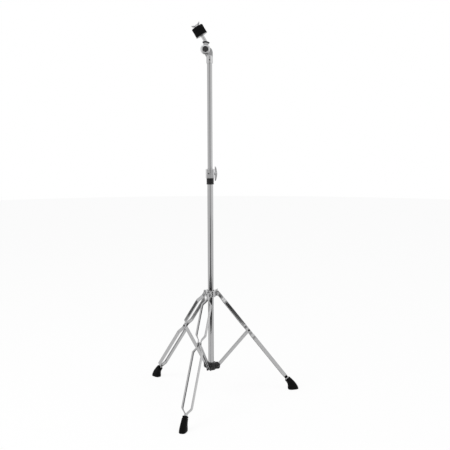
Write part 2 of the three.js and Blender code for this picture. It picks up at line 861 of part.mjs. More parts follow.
function armSaddle() {
  const inner = shoulderRadius + runningGap;
  const outline = shoulderSector(inner, inner + saddleThickness);
  const sector = slab(outline, -castingHalf, castingHalf, shoulderSteps);
  const hole = rod(threadRadius + runningGap, 0, shoulderRadius * 2, smallSides);
  return cut(sector, hole.translate(tilterOffset, 0, 0));
}

// Rod with a coped foot on the saddle, a spigot through it, and a thread above the seat
function armRod() {
  const cope = shoulderRadius + saddleThickness + 2 * runningGap;
  const bar = cut(
    rod(rodRadius, 0, seatAlong).translate(tilterOffset, 0, 0),
    disc(cope, -2 * rodRadius, 2 * rodRadius, 2 * roundSteps),
  );
  const spigotFoot = discRadius + runningGap;
  const thread = rod(threadRadius, spigotFoot, stackTop + threadAboveFelts, smallSides);
  return join(bar, thread.translate(tilterOffset, 0, 0));
}

function tilterBolt() {
  const seat = -discThickness + headRecessDepth - runningGap;
  const head = alongY(rod(boltHeadRadius, seat - boltHeadHeight, seat, hexSides));
  const tail = discThickness + tilterBoltBehind;
  const shank = alongY(rod(boltRadius, seat - boltHeadHeight / 2, tail, smallSides));
  return join(head, shank);
}

function tilterWasher() {
  const from = discThickness + runningGap;
  return alongY(ring(boltRadius + runningGap, washerRadius, from, from + washerThickness, smallSides));
}

function tilterWingNut() {
  const nut = wingNut(boltRadius + runningGap, tilterStem.radius, tilterStem.height, tilterWings);
  const seat = discThickness + washerThickness + 2 * runningGap;
  return alongY(nut.rotateZ(Math.PI / 2)).translate(0, seat, 0);
}

// Seat stack on the rod, measured along it from the tilt axis
function seatCup() {
  const base = seatAlong + runningGap;
  const cupRadius = feltRadius + cupLip;
  return turned([
    [threadRadius + runningGap, base],
    [cupRadius - castChamfer, base],
    [cupRadius, base + castChamfer],
    [cupRadius, base + cupThickness],
    [threadRadius + runningGap, base + cupThickness],
    [threadRadius + runningGap, base],
  ]);
}

function feltPad(bottom) {
  const top = bottom + feltThickness;
  const feltBore = sleeveRadius + sleeveClearance;
  return turned([
    [feltBore, bottom],
    [feltRadius - feltEdge, bottom],
    [feltRadius, bottom + feltEdge],
    [feltRadius, top - feltEdge],
    [feltRadius - feltEdge, top],
    [feltBore, top],
    [feltBore, bottom],
  ]);
}

function feltSleeve() {
  return ring(threadRadius + runningGap, sleeveRadius, feltBottom, stackTop - runningGap);
}

function topWingNut() {
  const nut = wingNut(threadRadius + runningGap, topStem.radius, topStem.height, topWings);
  return nut.translate(0, 0, stackTop + runningGap);
}

function seatStack() {
  const stack = group(
    piece('seat_cup', seatCup(), blackPlastic()),
    piece('lower_felt', feltPad(feltBottom), blackFelt()),
    piece('felt_sleeve', feltSleeve(), blackPlastic()),
    piece('upper_felt', feltPad(upperFeltBottom), blackFelt()),
    piece('top_wing_nut', topWingNut(), platedFastener()),
  );
  stack.position.set(tilterOffset, 0, 0);
  return stack;
}

function armAssembly() {
  const arm = group(
    piece('tilter_arm', tilterArm(), chromeCasting()),
    piece('arm_saddle', armSaddle(), blackPlastic()),
    piece('arm_rod', armRod(), chromeTube()),
    seatStack(),
  );
  arm.rotation.y = -tilterLean;
  return arm;
}

function tilter() {
  const pin = alongY(rod(crossPinRadius, -socketRadius, socketRadius, smallSides));
  const assembly = group(
    armAssembly(),
    piece('tilter_socket', tilterSocket(), chromeCasting()),
    piece('socket_pin', pin.translate(tilterOffset, 0, crossPinHeight - tilterHeight), darkSteel()),
    piece('tilter_bolt', tilterBolt(), darkSteel()),
    piece('tilter_washer', tilterWasher(), platedFastener()),
    piece('tilter_wing_nut', tilterWingNut(), platedFastener()),
  );
  assembly.position.set(-tilterOffset, 0, tilterHeight);
  const turnedTilter = group(assembly);
  turnedTilter.rotation.z = fittingHeading;
  return turnedTilter;
}

function clampAssembly() {
  const bolt = wingBolt(2 * clampEarHalf - boltRadius, clampStem.radius, clampStem.height, clampWings);
  alongX(bolt).translate(clampEarHalf + runningGap, -clampBoltForward, clampMiddle);
  const clamp = group(
    piece('height_clamp', heightClamp(), chromeCasting()),
    piece('clamp_bush', clampBush(), blackPlastic()),
    piece('clamp_band', clampBand(), blackPlastic()),
    piece('clamp_pin', clampPin(), darkSteel()),
    piece('clamp_wing_bolt', bolt, platedFastener()),
  );
  clamp.rotation.z = fittingHeading;
  return clamp;
}

function hubWingBolt() {
  const reach = bossReach + runningGap;
  const bolt = wingBolt(reach - hubBore, hubStem.radius, hubStem.height, hubWings).rotateZ(hubWingTurn);
  return alongX(bolt).translate(reach, 0, hubPivotHeight).rotateZ(hubBoltHeading);
}

// One leg with its strips, brace, rivets and foot, turned to its heading
function legAssembly(place, heading) {
  const strips = group(
    piece(`leg_strip_${place}_a`, legStrip(1), platedStrip()),
    piece(`leg_strip_${place}_b`, legStrip(-1), platedStrip()),
  );
  strips.position.set(legLineFloorRadius, 0, 0);
  strips.rotation.y = -legLean;
  const braceHolder = group(piece(`brace_${place}`, brace(), platedStrip()));
  braceHolder.position.set(bracePivotRadius, 0, bracePivotHeight);
  braceHolder.rotation.y = braceLean;
  const kneeHalf = kneeInside + stripMetal + runningGap;
  const topRivet = piece(`hub_rivet_${place}`, rivet(hubEarHalf + sideClearance), platedFastener());
  topRivet.position.set(hubPivotRadius, 0, hubPivotHeight);
  const kneeRivet = piece(`knee_rivet_${place}`, rivet(kneeHalf), platedFastener());
  kneeRivet.position.set(kneeRadius, 0, kneeHeight);
  const lowRivet = piece(`brace_rivet_${place}`, rivet(lowerEarHalf + runningGap), platedFastener());
  lowRivet.position.set(bracePivotRadius, 0, bracePivotHeight);
  const rubber = piece(`foot_${place}`, foot(), blackRubber());
  const leg = group(strips, braceHolder, topRivet, kneeRivet, lowRivet, rubber);
  leg.rotation.z = heading;
  return leg;
}

function cymbalStand() {
  const legs = Object.entries(legHeadings).map(([place, heading]) => legAssembly(place, heading));
  const stand = group(
    piece('lower_tube', lowerTube(), chromeTube()),
    piece('upper_tube', upperTube(), chromeTube()),
    piece('lower_hub', lowerHub(), blackPlastic()),
    piece('lower_hub_rivet', lowerHubRivet(), platedFastener()),
    piece('upper_hub', upperHub(), chromeCasting()),
    piece('hub_bush', hubBush(), blackPlastic()),
    piece('hub_wing_bolt', hubWingBolt(), platedFastener()),
    clampAssembly(),
    tilter(),
    ...legs,
  );
  const covered = new THREE.Box3().setFromObject(stand).getCenter(new THREE.Vector3());
  stand.position.set(-covered.x, -covered.y, 0);
  return group(stand);
}

export default cymbalStand();
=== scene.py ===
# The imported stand
# Its solids, pivots and bodies are the fixed frame that every finished piece below is placed by.
# The pieces are drawn in millimetres, as on a workshop drawing, and put into metres as each is finished.
import json
from math import atan2, copysign, cos, hypot, pi, radians, sin, sqrt, tan

import bmesh
import bpy
from mathutils import Matrix, Vector, noise

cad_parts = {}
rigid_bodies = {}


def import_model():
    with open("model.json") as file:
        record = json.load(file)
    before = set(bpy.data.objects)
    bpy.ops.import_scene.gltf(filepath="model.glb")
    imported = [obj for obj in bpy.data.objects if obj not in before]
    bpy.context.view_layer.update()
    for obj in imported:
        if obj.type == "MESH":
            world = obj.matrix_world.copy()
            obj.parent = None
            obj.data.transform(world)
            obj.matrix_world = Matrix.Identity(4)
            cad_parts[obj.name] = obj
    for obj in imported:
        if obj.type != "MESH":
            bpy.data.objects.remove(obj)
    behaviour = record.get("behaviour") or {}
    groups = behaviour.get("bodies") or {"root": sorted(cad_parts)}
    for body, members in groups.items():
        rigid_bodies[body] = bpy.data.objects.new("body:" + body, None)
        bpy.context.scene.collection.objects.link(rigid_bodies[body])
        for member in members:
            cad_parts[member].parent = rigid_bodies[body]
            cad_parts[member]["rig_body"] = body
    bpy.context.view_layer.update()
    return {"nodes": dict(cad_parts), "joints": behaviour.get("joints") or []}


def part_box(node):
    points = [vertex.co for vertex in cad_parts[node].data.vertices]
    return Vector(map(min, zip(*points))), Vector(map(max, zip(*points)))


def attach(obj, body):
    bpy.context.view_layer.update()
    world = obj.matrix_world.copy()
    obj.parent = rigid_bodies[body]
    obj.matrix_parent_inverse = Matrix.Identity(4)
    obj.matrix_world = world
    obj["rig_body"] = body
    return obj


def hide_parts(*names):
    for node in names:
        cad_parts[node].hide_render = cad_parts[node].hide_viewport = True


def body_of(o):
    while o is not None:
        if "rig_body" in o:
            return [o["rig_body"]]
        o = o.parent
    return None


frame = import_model()
metre = 1000
hinges = [joint for joint in frame["joints"] if joint["type"] == "hinge"]
pivots = {joint["name"]: Vector(joint["pos_m"]) * metre for joint in hinges}


def node_box(node):
    low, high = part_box(node)
    return low * metre, high * metre


tube_low, tube_high = node_box("lower_tube")
column = ((tube_low + tube_high) / 2) * Vector((1, 1, 0))
on_column = Matrix.Translation(column)

# The camera
# It stands where the photograph was taken from: 2.7 m from the column, a little above the stand's middle,
# 16.7 degrees round from the front leg. It looks slightly down and just past the column.
photo_side = 450
focal_pixels = 708
camera_heading = 16.7
camera_distance = 2660
camera_height = 1022
camera_pan = radians(1.19)
camera_pitch = radians(7.40)
camera_roll = radians(-0.15)


def linked(name, data):
    holder = bpy.data.objects.new(name, data)
    bpy.context.scene.collection.objects.link(holder)
    return holder


camera_data = bpy.data.cameras.new("camera")
camera_data.sensor_width = 36
camera_data.lens = camera_data.sensor_width * focal_pixels / photo_side
camera = linked("camera", camera_data)
heading = radians(camera_heading)
away = Vector((-sin(heading), cos(heading), 0))
eye = (column - away * camera_distance + Vector((0, 0, camera_height))) / metre
turn_about = Matrix.Rotation(heading - camera_pan, 4, "Z")
tip_down = Matrix.Rotation(pi / 2 - camera_pitch, 4, "X")
camera.matrix_world = Matrix.Translation(eye) @ turn_about @ tip_down @ Matrix.Rotation(camera_roll, 4, "Z")
bpy.context.scene.camera = camera
bpy.context.scene.view_settings.view_transform = "Standard"

# The studio
# A white paper floor and a white surround, with two large soft lamps. Camera rays and reflections see the
# surround as white; the lamps and a dimmer sky do the lighting, and the floor keeps a faint shadow.
floor_radius = 9000
floor_tone = 0.92
floor_shadow_share = 0.09
sky_strength = 0.62
lamp_target = Vector((0, 0, 700))


def grey(tone):
    return (tone, tone, tone, 1)


def shader_tree(holder):
    holder.use_nodes = True
    holder.node_tree.nodes.clear()
    return holder.node_tree


def blank_finish(name):
    finish = bpy.data.materials.new(name)
    return finish, shader_tree(finish)


def wired(tree, kind, inputs, operation=None):
    """A new shader node whose inputs are set to values or joined to the outputs that are given for them."""
    made = tree.nodes.new(f"ShaderNode{kind}")
    if operation:
        made.operation = operation
    for name, value in inputs.items():
        if isinstance(value, bpy.types.NodeSocket):
            tree.links.new(value, made.inputs[name])
        else:
            made.inputs[name].default_value = value
    return made


def seen_ray(tree):
    """1 for rays from the camera and those that metal or glass sends on, 0 for light that falls on things."""
    path = wired(tree, "LightPath", {})
    total = path.outputs["Is Camera Ray"]
    for kind in ("Is Glossy Ray", "Is Transmission Ray"):
        total = wired(tree, "Math", {0: total, 1: path.outputs[kind]}, "MAXIMUM").outputs[0]
    return total


def meshed(bm, name):
    mesh = bpy.data.meshes.new(name)
    bm.to_mesh(mesh)
    bm.free()
    return mesh


def staged(bm, name, finish):
    bm.transform(Matrix.Scale(1 / metre, 4))
    mesh = meshed(bm, name)
    mesh.materials.append(finish)
    holder = linked(name, mesh)
    return holder


world = bpy.data.worlds.new("white_surround")
bpy.context.scene.world = world
tree = shader_tree(world)
sky = wired(tree, "Background", {"Color": grey(1), "Strength": sky_strength})
paper = wired(tree, "Background", {"Color": grey(1), "Strength": 1})
mix = wired(tree, "MixShader", {"Fac": seen_ray(tree), 1: sky.outputs[0], 2: paper.outputs[0]})
wired(tree, "OutputWorld", {"Surface": mix.outputs[0]})

floor_finish, tree = blank_finish("floor_paper")
matt = wired(tree, "BsdfDiffuse", {"Color": grey(floor_tone)})
glow = wired(tree, "Emission", {"Color": grey(1)})
share = wired(tree, "Math", {0: seen_ray(tree), 1: 1 - floor_shadow_share}, "MULTIPLY")
mix = wired(tree, "MixShader", {"Fac": share.outputs[0], 1: matt.outputs[0], 2: glow.outputs[0]})
wired(tree, "OutputMaterial", {"Surface": mix.outputs[0]})
bm = bmesh.new()
bmesh.ops.create_circle(bm, cap_ends=True, segments=64, radius=floor_radius)
staged(bm, "floor", floor_finish)


def soft_lamp(name, side, watts, place):
    lamp = bpy.data.lights.new(name, "AREA")
    lamp.shape = "SQUARE"
    lamp.size = side / metre
    lamp.energy = watts
    holder = linked(name, lamp)
    holder.location = Vector(place) / metre
    holder.rotation_euler = (lamp_target - Vector(place)).to_track_quat("-Z", "Y").to_euler()
    holder.visible_glossy = False


soft_lamp("key_lamp", side=2000, watts=62, place=(-1900, -2200, 2900))
soft_lamp("fill_lamp", side=2400, watts=42, place=(2600, -1200, 3800))

# Cards that only reflections see
# Bright metal in a white room has no shape of its own. Dark mats on the floor and a grey screen behind the
# camera give the tubes their dark line and the right leg and the hub their dark patches. Two lights brighten
# the bends and the right-hand sides.
mat_above_floor = 4
screen_deep = -3300
flat = Matrix.Identity(4)
upright = Matrix.Rotation(pi / 2, 4, "X")
facing_left = Matrix.Rotation(pi / 2, 4, "Z") @ upright
cards = [
    ("near_mat", 0.01, 3600, 815, (0, -1292.5, mat_above_floor), flat),
    ("far_mat", 0.06, 1800, 1590, (0, -2495, mat_above_floor), flat),
    ("screen_foot", 0.12, 2200, 180, (0, screen_deep, 90), upright),
    ("screen_low", 0.3, 2200, 140, (0, screen_deep, 250), upright),
    ("screen", 0.56, 2200, 2280, (0, screen_deep, 1460), upright),
    ("top_light", 1.7, 2600, 1200, (0, -2200, 3200), upright),
    ("right_light", 1.3, 1800, 2700, (2400, -500, 1750), facing_left),
    ("side_mat", 0.05, 700, 420, (-1480, 0, mat_above_floor), flat),
]


def moved(across, deep, up):
    return Matrix.Translation((across, deep, up))


def headed(degrees):
    return Matrix.Rotation(radians(degrees), 4, "Z")


for name, tone, width, length, middle, stance in cards:
    finish, tree = blank_finish(name)
    glow = wired(tree, "Emission", {"Color": grey(tone)})
    wired(tree, "OutputMaterial", {"Surface": glow.outputs[0]})
    bm = bmesh.new()
    bmesh.ops.create_grid(bm, x_segments=1, y_segments=1, size=0.5)
    size = Matrix.Diagonal((width, length, 1, 1))
    bm.transform(on_column @ headed(camera_heading) @ moved(*middle) @ stance @ size)
    card = staged(bm, name, finish)
    card.visible_camera = False
    card.visible_diffuse = False
    card.visible_shadow = False
    card.visible_transmission = False

# Lower hub
# A gloss black moulding that closes the foot of the column, with a pair of ears for each brace. The slots
# between the ears are open above and below, and a drilled hole takes the rivet that holds the tube.
leg_turns = {"front": headed(-90), "right": headed(30), "left": headed(150)}
behind = headed(90)
along_x = Matrix.Rotation(pi / 2, 4, "Y")
along_y = Matrix.Rotation(-pi / 2, 4, "X")
brace_pivot = pivots["brace_front_fold"]
brace_pivot_radius = (brace_pivot - column).xy.length
tube_radius = (tube_high.x - tube_low.x) / 2
lower_hub_radius = 17.4
lower_hub_floor = 5
lower_ear_reach = 33.5
lower_ear_corner = 7
lower_ear_half = 8.5
lower_ear_low = 113.5
lower_ear_high = 137
lower_slot_half = 4.3
lower_slot_floor = 18.65
rivet_hole_radius = 2.8
blind_hole_radius = 1.8
blind_rivet_height = 133
on_blind_rivet = behind @ moved(0, 0, blind_rivet_height) @ along_x
fit = 0.3
overrun = 4
fine_sides = 96
small_sides = 24
hairline = 0.001
soft_crease = 120


def heights(node):
    low, high = node_box(node)
    return low.z, high.z


def turned(profile, lip=0.0, sides=fine_sides):
    """A shape turned round Z from (radius, height) pairs that close on themselves or end on the axis.
    Its corners are rounded off by lip."""
    bm = bmesh.new()
    points = [bm.verts.new((radius, 0, height)) for radius, height in profile]
    for first, second in zip(points, points[1:]):
        bm.edges.new((first, second))
    if profile[0][0] > 0:
        bm.edges.new((points[-1], points[0]))
    if lip:
        corners = [point for point in points if point.co.x > 0]
        bmesh.ops.bevel(bm, geom=corners, offset=lip, offset_type="OFFSET", segments=4, profile=0.5,
                        affect="VERTICES", material=-1)
    bmesh.ops.spin(bm, geom=bm.verts[:] + bm.edges[:], cent=(0, 0, 0), axis=(0, 0, 1), angle=2 * pi,
                   steps=sides, use_merge=True)
    bmesh.ops.remove_doubles(bm, verts=bm.verts, dist=hairline)
    bmesh.ops.recalc_face_normals(bm, faces=bm.faces)
    return bm


def bar(radius, low, high, sides=fine_sides, lip=0.0):
    return turned([(0, low), (radius, low), (radius, high), (0, high)], lip, sides)


def outline(*corners, steps=8):
    """The points of an outline given by its (across, up, radius) corners, each turned on its radius."""
    points = []
    for index, (across, up, radius) in enumerate(corners):
        here = Vector((across, up))
        back = (Vector(corners[index - 1][:2]) - here).normalized()
        ahead = (Vector(corners[(index + 1) % len(corners)][:2]) - here).normalized()
        if not radius:
            points.append(here)
            continue
        half_angle = back.angle(ahead) / 2
        middle = here + (back + ahead).normalized() * (radius / sin(half_angle))
        start = here + back * (radius / tan(half_angle)) - middle
        end = here + ahead * (radius / tan(half_angle)) - middle
        points += [middle + start.lerp(end, step / steps).normalized() * radius for step in range(steps + 1)]
    return points


def oblong(left, right, low, high, corner=0):
    """An oblong outline whose right-hand corners are rounded."""
    return outline((left, low, 0), (right, low, corner), (right, high, corner), (left, high, 0))


def plate(points, near, far, lip=0.0, steps=3):
    """A plate with its outline in X and Z, from near to far along Y, and both its rims rounded by lip."""
    bm = bmesh.new()
    face = bm.faces.new([bm.verts.new((point.x, near, point.y)) for point in points])
    made = bmesh.ops.extrude_face_region(bm, geom=[face])["geom"]
    far_points = [item for item in made if isinstance(item, bmesh.types.BMVert)]
    bmesh.ops.translate(bm, verts=far_points, vec=(0, far - near, 0))
    bmesh.ops.recalc_face_normals(bm, faces=bm.faces)
    if lip:
        rims = [edge for edge in bm.edges if abs(edge.verts[0].co.y - edge.verts[1].co.y) < hairline]
        bmesh.ops.bevel(bm, geom=rims, offset=lip, offset_type="OFFSET", segments=steps, profile=0.5,
                        affect="EDGES", material=-1)
    return bm


def placed(bm, place):
    bm.transform(place)
    return bm


def drilled(radius, reach, place, start=None, sides=32):
    """What a drill takes out: a bar along Z of its place, which starts as far behind as it reaches."""
    start = -reach if start is None else start
    return placed(bar(radius, start, reach, sides), place)


def worked(keep, away=(), skin=0.0, smooth=0):
    """The shapes in keep joined, with those in away cut out. A skin size draws the result as one cast skin,
    whose corners are softened by the smooth rounds."""
    parts = [linked("rough", meshed(shape, "rough")) for shape in (*keep, *away)]
    body = parts[0]
    for number, part in enumerate(parts[1:], 1):
        step = body.modifiers.new("step", "BOOLEAN")
        step.operation = "UNION" if number < len(keep) else "DIFFERENCE"
        step.solver = "EXACT"
        step.object = part
    if skin:
        step = body.modifiers.new("skin", "REMESH")
        step.mode = "VOXEL"
        step.voxel_size = skin
        step = body.modifiers.new("soften", "SMOOTH")
        step.factor = 0.5
        step.iterations = smooth
    mesh = bpy.data.meshes.new_from_object(body.evaluated_get(bpy.context.evaluated_depsgraph_get()))
    bm = bmesh.new()
    bm.from_mesh(mesh)
    bpy.data.meshes.remove(mesh)
    for part in parts:
        rough = part.data
        bpy.data.objects.remove(part)
        bpy.data.meshes.remove(rough)
    return bm


def finished(bm, place, name, finish, slot, *nodes, crease=32):
    """The object of a finished piece, in its place and in metres. It stands for its solids, rides on their
    body and is smooth up to the crease angle."""
    bm.transform(place)
    bm.transform(Matrix.Scale(1 / metre, 4))
    mesh = meshed(bm, name)
    mesh.materials.append(finish)
    mesh.shade_smooth()
    mesh.set_sharp_from_angle(angle=radians(crease))
    piece = linked(name, mesh)
    flats = piece.modifiers.new("flat_faces_stay_flat", "WEIGHTED_NORMAL")
    flats.keep_sharp = True
    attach(piece, body_of(frame["nodes"][nodes[0]])[0])
    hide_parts(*nodes)
    return piece


def soft_noise(tree, scale, detail, lay=(1, 1, 1), distortion=0.0):
    """Noise that stays with the piece, stretched by lay."""
    place = wired(tree, "TexCoord", {}).outputs["Object"]
    stretched = wired(tree, "Mapping", {"Vector": place, "Scale": lay}).outputs["Vector"]
    values = {"Vector": stretched, "Scale": scale, "Detail": detail, "Distortion": distortion}
    return wired(tree, "TexNoise", values).outputs["Fac"]


def spread(tree, source, low, high):
    """The middle of a noise spread from low to high."""
    values = {"Value": source, "From Min": 0.3, "From Max": 0.7, "To Min": low, "To Max": high}
    return wired(tree, "MapRange", values).outputs["Result"]


def blended(tree, source, low, low_colour, high, high_colour):
    """A colour that goes from one to the other as a noise goes from low to high."""
    ramp = wired(tree, "ValToRGB", {"Fac": source})
    first, last = ramp.color_ramp.elements
    first.position = low
    first.color = low_colour
    last.position = high
    last.color = high_colour
    return ramp.outputs["Color"]


def raised(tree, source, height, strength):
    """Fine relief of a height in millimetres."""
    bump = wired(tree, "Bump", {"Height": source, "Distance": height / metre, "Strength": strength})
    return bump.outputs["Normal"]


def surfaced(tree, inputs):
    shader = wired(tree, "BsdfPrincipled", inputs)
    wired(tree, "OutputMaterial", {"Surface": shader.outputs[0]})


def moulding(name, tone, rough, grain, dust, gloss):
    """Black plastic or rubber: a skin of a grain size and height, a gloss that varies between the two
    roughnesses with handling, and a little dust."""
    finish, tree = blank_finish(name)
    grain_size, grain_height = grain
    skin = soft_noise(tree, scale=metre / grain_size, detail=3)
    handled = soft_noise(tree, scale=45, detail=4)
    surfaced(tree, {
        "Base Color": blended(tree, handled, 0.45, (tone, tone, tone * 1.04, 1), 0.85, grey(tone + dust)),
        "Roughness": spread(tree, handled, *rough),
        "Specular IOR Level": gloss,
        "Normal": raised(tree, skin, grain_height, strength=0.5),
    })
    return finish


def hub_ears(ear, ear_half, slot, slot_half, hole_radius, pin):
    """Three pairs of ears, and the slots and pin holes to be cut from them."""
    turns = leg_turns.values()
    ears = [placed(plate(ear, -ear_half, ear_half), turn) for turn in turns]
    slots = [placed(plate(slot, -slot_half, slot_half), turn) for turn in turns]
    holes = [drilled(hole_radius, 2 * ear_half, turn @ pin, sides=small_sides) for turn in turns]
    return ears, slots + holes


lower_hub_low, lower_hub_high = heights("lower_hub")
gloss_black = moulding("gloss_black_moulding", tone=0.005, rough=(0.1, 0.2), grain=(0.9, 0.006), dust=0.005,
                       gloss=0.35)
ear_shape = oblong(tube_radius, lower_ear_reach, lower_ear_low, lower_ear_high, lower_ear_corner)
slot_low = lower_hub_low - overrun
slot_high = lower_hub_high + overrun
slot_shape = oblong(lower_slot_floor, lower_ear_reach + overrun, slot_low, slot_high)
brace_pin = moved(brace_pivot_radius, 0, brace_pivot.z) @ along_y
ears, gaps = hub_ears(ear_shape, lower_ear_half, slot_shape, lower_slot_half, rivet_hole_radius, brace_pin)
body = bar(lower_hub_radius, lower_hub_low, lower_hub_high)
bore = bar(tube_radius + fit, lower_hub_low + lower_hub_floor, slot_high)
blind_hole = drilled(blind_hole_radius, 2 * lower_hub_radius, on_blind_rivet, 0, small_sides)
bm = worked([body, *ears], [bore, *gaps, blind_hole], skin=0.5, smooth=5)
finished(bm, on_column, "lower_hub_moulding", gloss_black, "plastic_black", "lower_hub", crease=soft_crease)

# Lower column tube
# A drawn steel tube of 22.2 mm, polished and chrome plated. Its foot is riveted into the lower hub and its
# head ends inside the height clamp. The plating shows faint polishing lines that run round the tube.
tube_wall = 1.2
tube_lip = 0.35


def plating(name, tone, rough, lay, relief=0.012, mottle=0.05):
    """Bright plating over worked steel: a tone that drifts a little, a gloss that wanders with the polish,
    and fine lines across the directions in which lay, in lines per metre, is large."""
    finish, tree = blank_finish(name)
    lines = soft_noise(tree, scale=1, detail=4, lay=lay)
    dark = tone * (1 - mottle)
    pale = tone * (1 + mottle)
    dark_colour = (dark, dark, dark * 1.01, 1)
    pale_colour = (pale, pale, pale * 1.005, 1)
    surfaced(tree, {
        "Metallic": 1,
        "Base Color": blended(tree, lines, 0.32, dark_colour, 0.68, pale_colour),
        "Roughness": spread(tree, soft_noise(tree, scale=28, detail=3), rough * 0.8, rough * 1.35),
        "Normal": raised(tree, lines, relief, strength=0.35),
    })
    return finish


def sleeve(inner, outer, low, high, sides=fine_sides, lip=0.0):
    return turned([(inner, low), (outer, low), (outer, high), (inner, high)], lip, sides)


def tube(radius, low, high):
    return sleeve(radius - tube_wall, radius, low, high, lip=tube_lip)


tube_chrome = plating("polished_tube_chrome", tone=0.42, rough=0.06, lay=(60, 60, 2400), relief=0.004)
blind_hole = drilled(blind_hole_radius, 2 * tube_radius, on_blind_rivet, 0, small_sides)
bm = worked([tube(tube_radius, tube_low.z, tube_high.z)], [blind_hole])
finished(bm, on_column, "lower_column_tube", tube_chrome, "chrome_tube", "lower_tube")

# Blind rivet of the lower hub
# A plated steel blind rivet behind the column that pins the moulding to the tube. Its head keeps the dimple
# where the pulling mandrel broke off.
blind_rivet_inner = 8.9
blind_rivet_seat = 17.7
blind_rivet_radius = 1.5
blind_rivet_lip = 0.08
blind_rivet_sides = 48
blind_rivet_head = [(3, 0), (2.9, 0.35), (2.1, 0.9), (0.9, 0.9), (0.7, 0.4), (0, 0.4)]
fastener_plating = plating("zinc_fastener_plating", tone=0.48, rough=0.24, lay=(500, 500, 500), relief=0.02,
                           mottle=0.1)
profile = [(0, blind_rivet_inner), (blind_rivet_radius, blind_rivet_inner),
           (blind_rivet_radius, blind_rivet_seat)]
profile += [(radius, blind_rivet_seat + height) for radius, height in blind_rivet_head]
bm = turned(profile, blind_rivet_lip, blind_rivet_sides)
finished(bm, on_column @ on_blind_rivet, "blind_rivet", fastener_plating, "plated_fastener",
         "lower_hub_rivet")

# Braces
# Three pressed steel channels with rounded ends, open away from the column. Each turns on a rivet in the
# lower hub's ears and on one at the leg's knee, and is plated after pressing.
knee_pivot = pivots["leg_front_knee"]
knee_radius = (knee_pivot - column).xy.length
brace_rise = knee_pivot.z - brace_pivot.z
brace_run = knee_radius - brace_pivot_radius
brace_length = hypot(brace_run, brace_rise)
brace_lean = atan2(brace_run, brace_rise)
brace_half_depth = 6.25
brace_half_width = 4
brace_metal = 1.5
press_corner = 1.4
press_lip = 0.35


def channel(half_width, mouth, back, metal, corner, steps=4):
    """The section of a pressed channel as (across, deep) points: two walls at the mouth and a web behind."""
    way = copysign(1, back - mouth)
    depth = abs(back - mouth)
    floor_depth = depth - metal
    inside = half_width - metal
    outer = min(corner, depth * 0.9, half_width * 0.9)
    inner = min(max(outer - metal, 0.3), floor_depth * 0.5, inside * 0.8)
    lip = min(press_lip, floor_depth * 0.3, metal * 0.3)
    quarter = [pi / 2 * step / steps for step in range(steps + 1)]
    right = [(half_width - lip, 0), (half_width, lip)]
    right += [(half_width - outer + outer * cos(turn), depth - outer + outer * sin(turn)) for turn in quarter]
    right_inner = [(inside - inner + inner * sin(turn), floor_depth - inner + inner * cos(turn))
                   for turn in quarter]
    right_inner += [(inside, lip), (inside + lip, 0)]
    left = [(-across, deep) for across, deep in reversed(right)]
    left_inner = [(-across, deep) for across, deep in reversed(right_inner)]
    return [(across, mouth + way * deep) for across, deep in right + left + left_inner + right_inner]


def swept(rings):
    """A solid drawn through rings of equal numbers of points, closed at both ends."""
    bm = bmesh.new()
    before = None
    for ring in rings:
        points = [bm.verts.new(point) for point in ring]
        edges = [bm.edges.new(pair) for pair in zip(points, points[1:] + points[:1])]
        if before:
            bmesh.ops.bridge_loops(bm, edges=before + edges)
        before = edges
    bmesh.ops.holes_fill(bm, edges=[edge for edge in bm.edges if edge.is_boundary], sides=0)
    bmesh.ops.recalc_face_normals(bm, faces=bm.faces)
    return bm


def finished_per_leg(bm, place, name, finish, slot, node, crease=32):
    """A finished copy of a shape at the same place on each leg. The leg's name goes into both names."""
    for leg, turn in leg_turns.items():
        finished(bm.copy(), on_column @ turn @ place, name.format(leg), finish, slot, node.format(leg),
                 crease=crease)
    bm.free()


end_angles = [radians(angle) for angle in (14, 24, 36, 50, 65, 80)]
foot_stations = [(-brace_half_depth * cos(turn), brace_half_depth * sin(turn)) for turn in end_angles]
head_stations = [(brace_length - along, half_depth) for along, half_depth in reversed(foot_stations)]
brace_stations = [*foot_stations, (0, brace_half_depth), (brace_length, brace_half_depth), *head_stations]
rings = []
for along, half_depth in brace_stations:
    section = channel(brace_half_width, half_depth, -half_depth, brace_metal, press_corner)
    rings.append([(deep, across, along) for across, deep in section])
rivet_holes = [drilled(rivet_hole_radius, 3 * brace_half_width, place, sides=small_sides)
               for place in (along_y, moved(0, 0, brace_length) @ along_y)]
leg_plating = plating("pressed_leg_plating", tone=0.44, rough=0.12, lay=(160, 160, 160), relief=0.004)
bm = worked([swept(rings)], rivet_holes)
on_pivot = moved(brace_pivot_radius, 0, brace_pivot.z) @ Matrix.Rotation(brace_lean, 4, "Y")
finished_per_leg(bm, on_pivot, "pressed_brace_{}", leg_plating, "leg_plate", "brace_{}")

# Leg strips
# Each leg is a pair of pressed steel channels, open sides together. They are pinched flat against each other
# at the hub and in the foot, pinched on to the brace at the knee, and bow apart between, which makes the two
# long loops. The top ends are rounded over their rivet.
hub_pivot = pivots["hub_on_front_leg"]
hub_pivot_radius = (hub_pivot - column).xy.length
leg_lean = radians(37.8)
leg_length = 523.6
hub_pivot_across = -2
knee_across = 1.5
knee_along = 324.1
strip_half_width = 7
strip_metal = 1.6
strip_height = 5
strip_tip_gap = 0.5
pinched_height = 4.4
loop_gap = 15
pinched_gap = 0.2
knee_gap = 4.3
knee_height = 1.8
bend_length = 26
bend_steps = 14
strip_foot = 35
shoe_top = 61
knee_half = 10
top_pinch = 21
on_hub_pivot = moved(hub_pivot_radius, 0, hub_pivot.z)
on_leg = on_hub_pivot @ Matrix.Rotation(-leg_lean, 4, "Y") @ moved(-hub_pivot_across, 0, -leg_length)
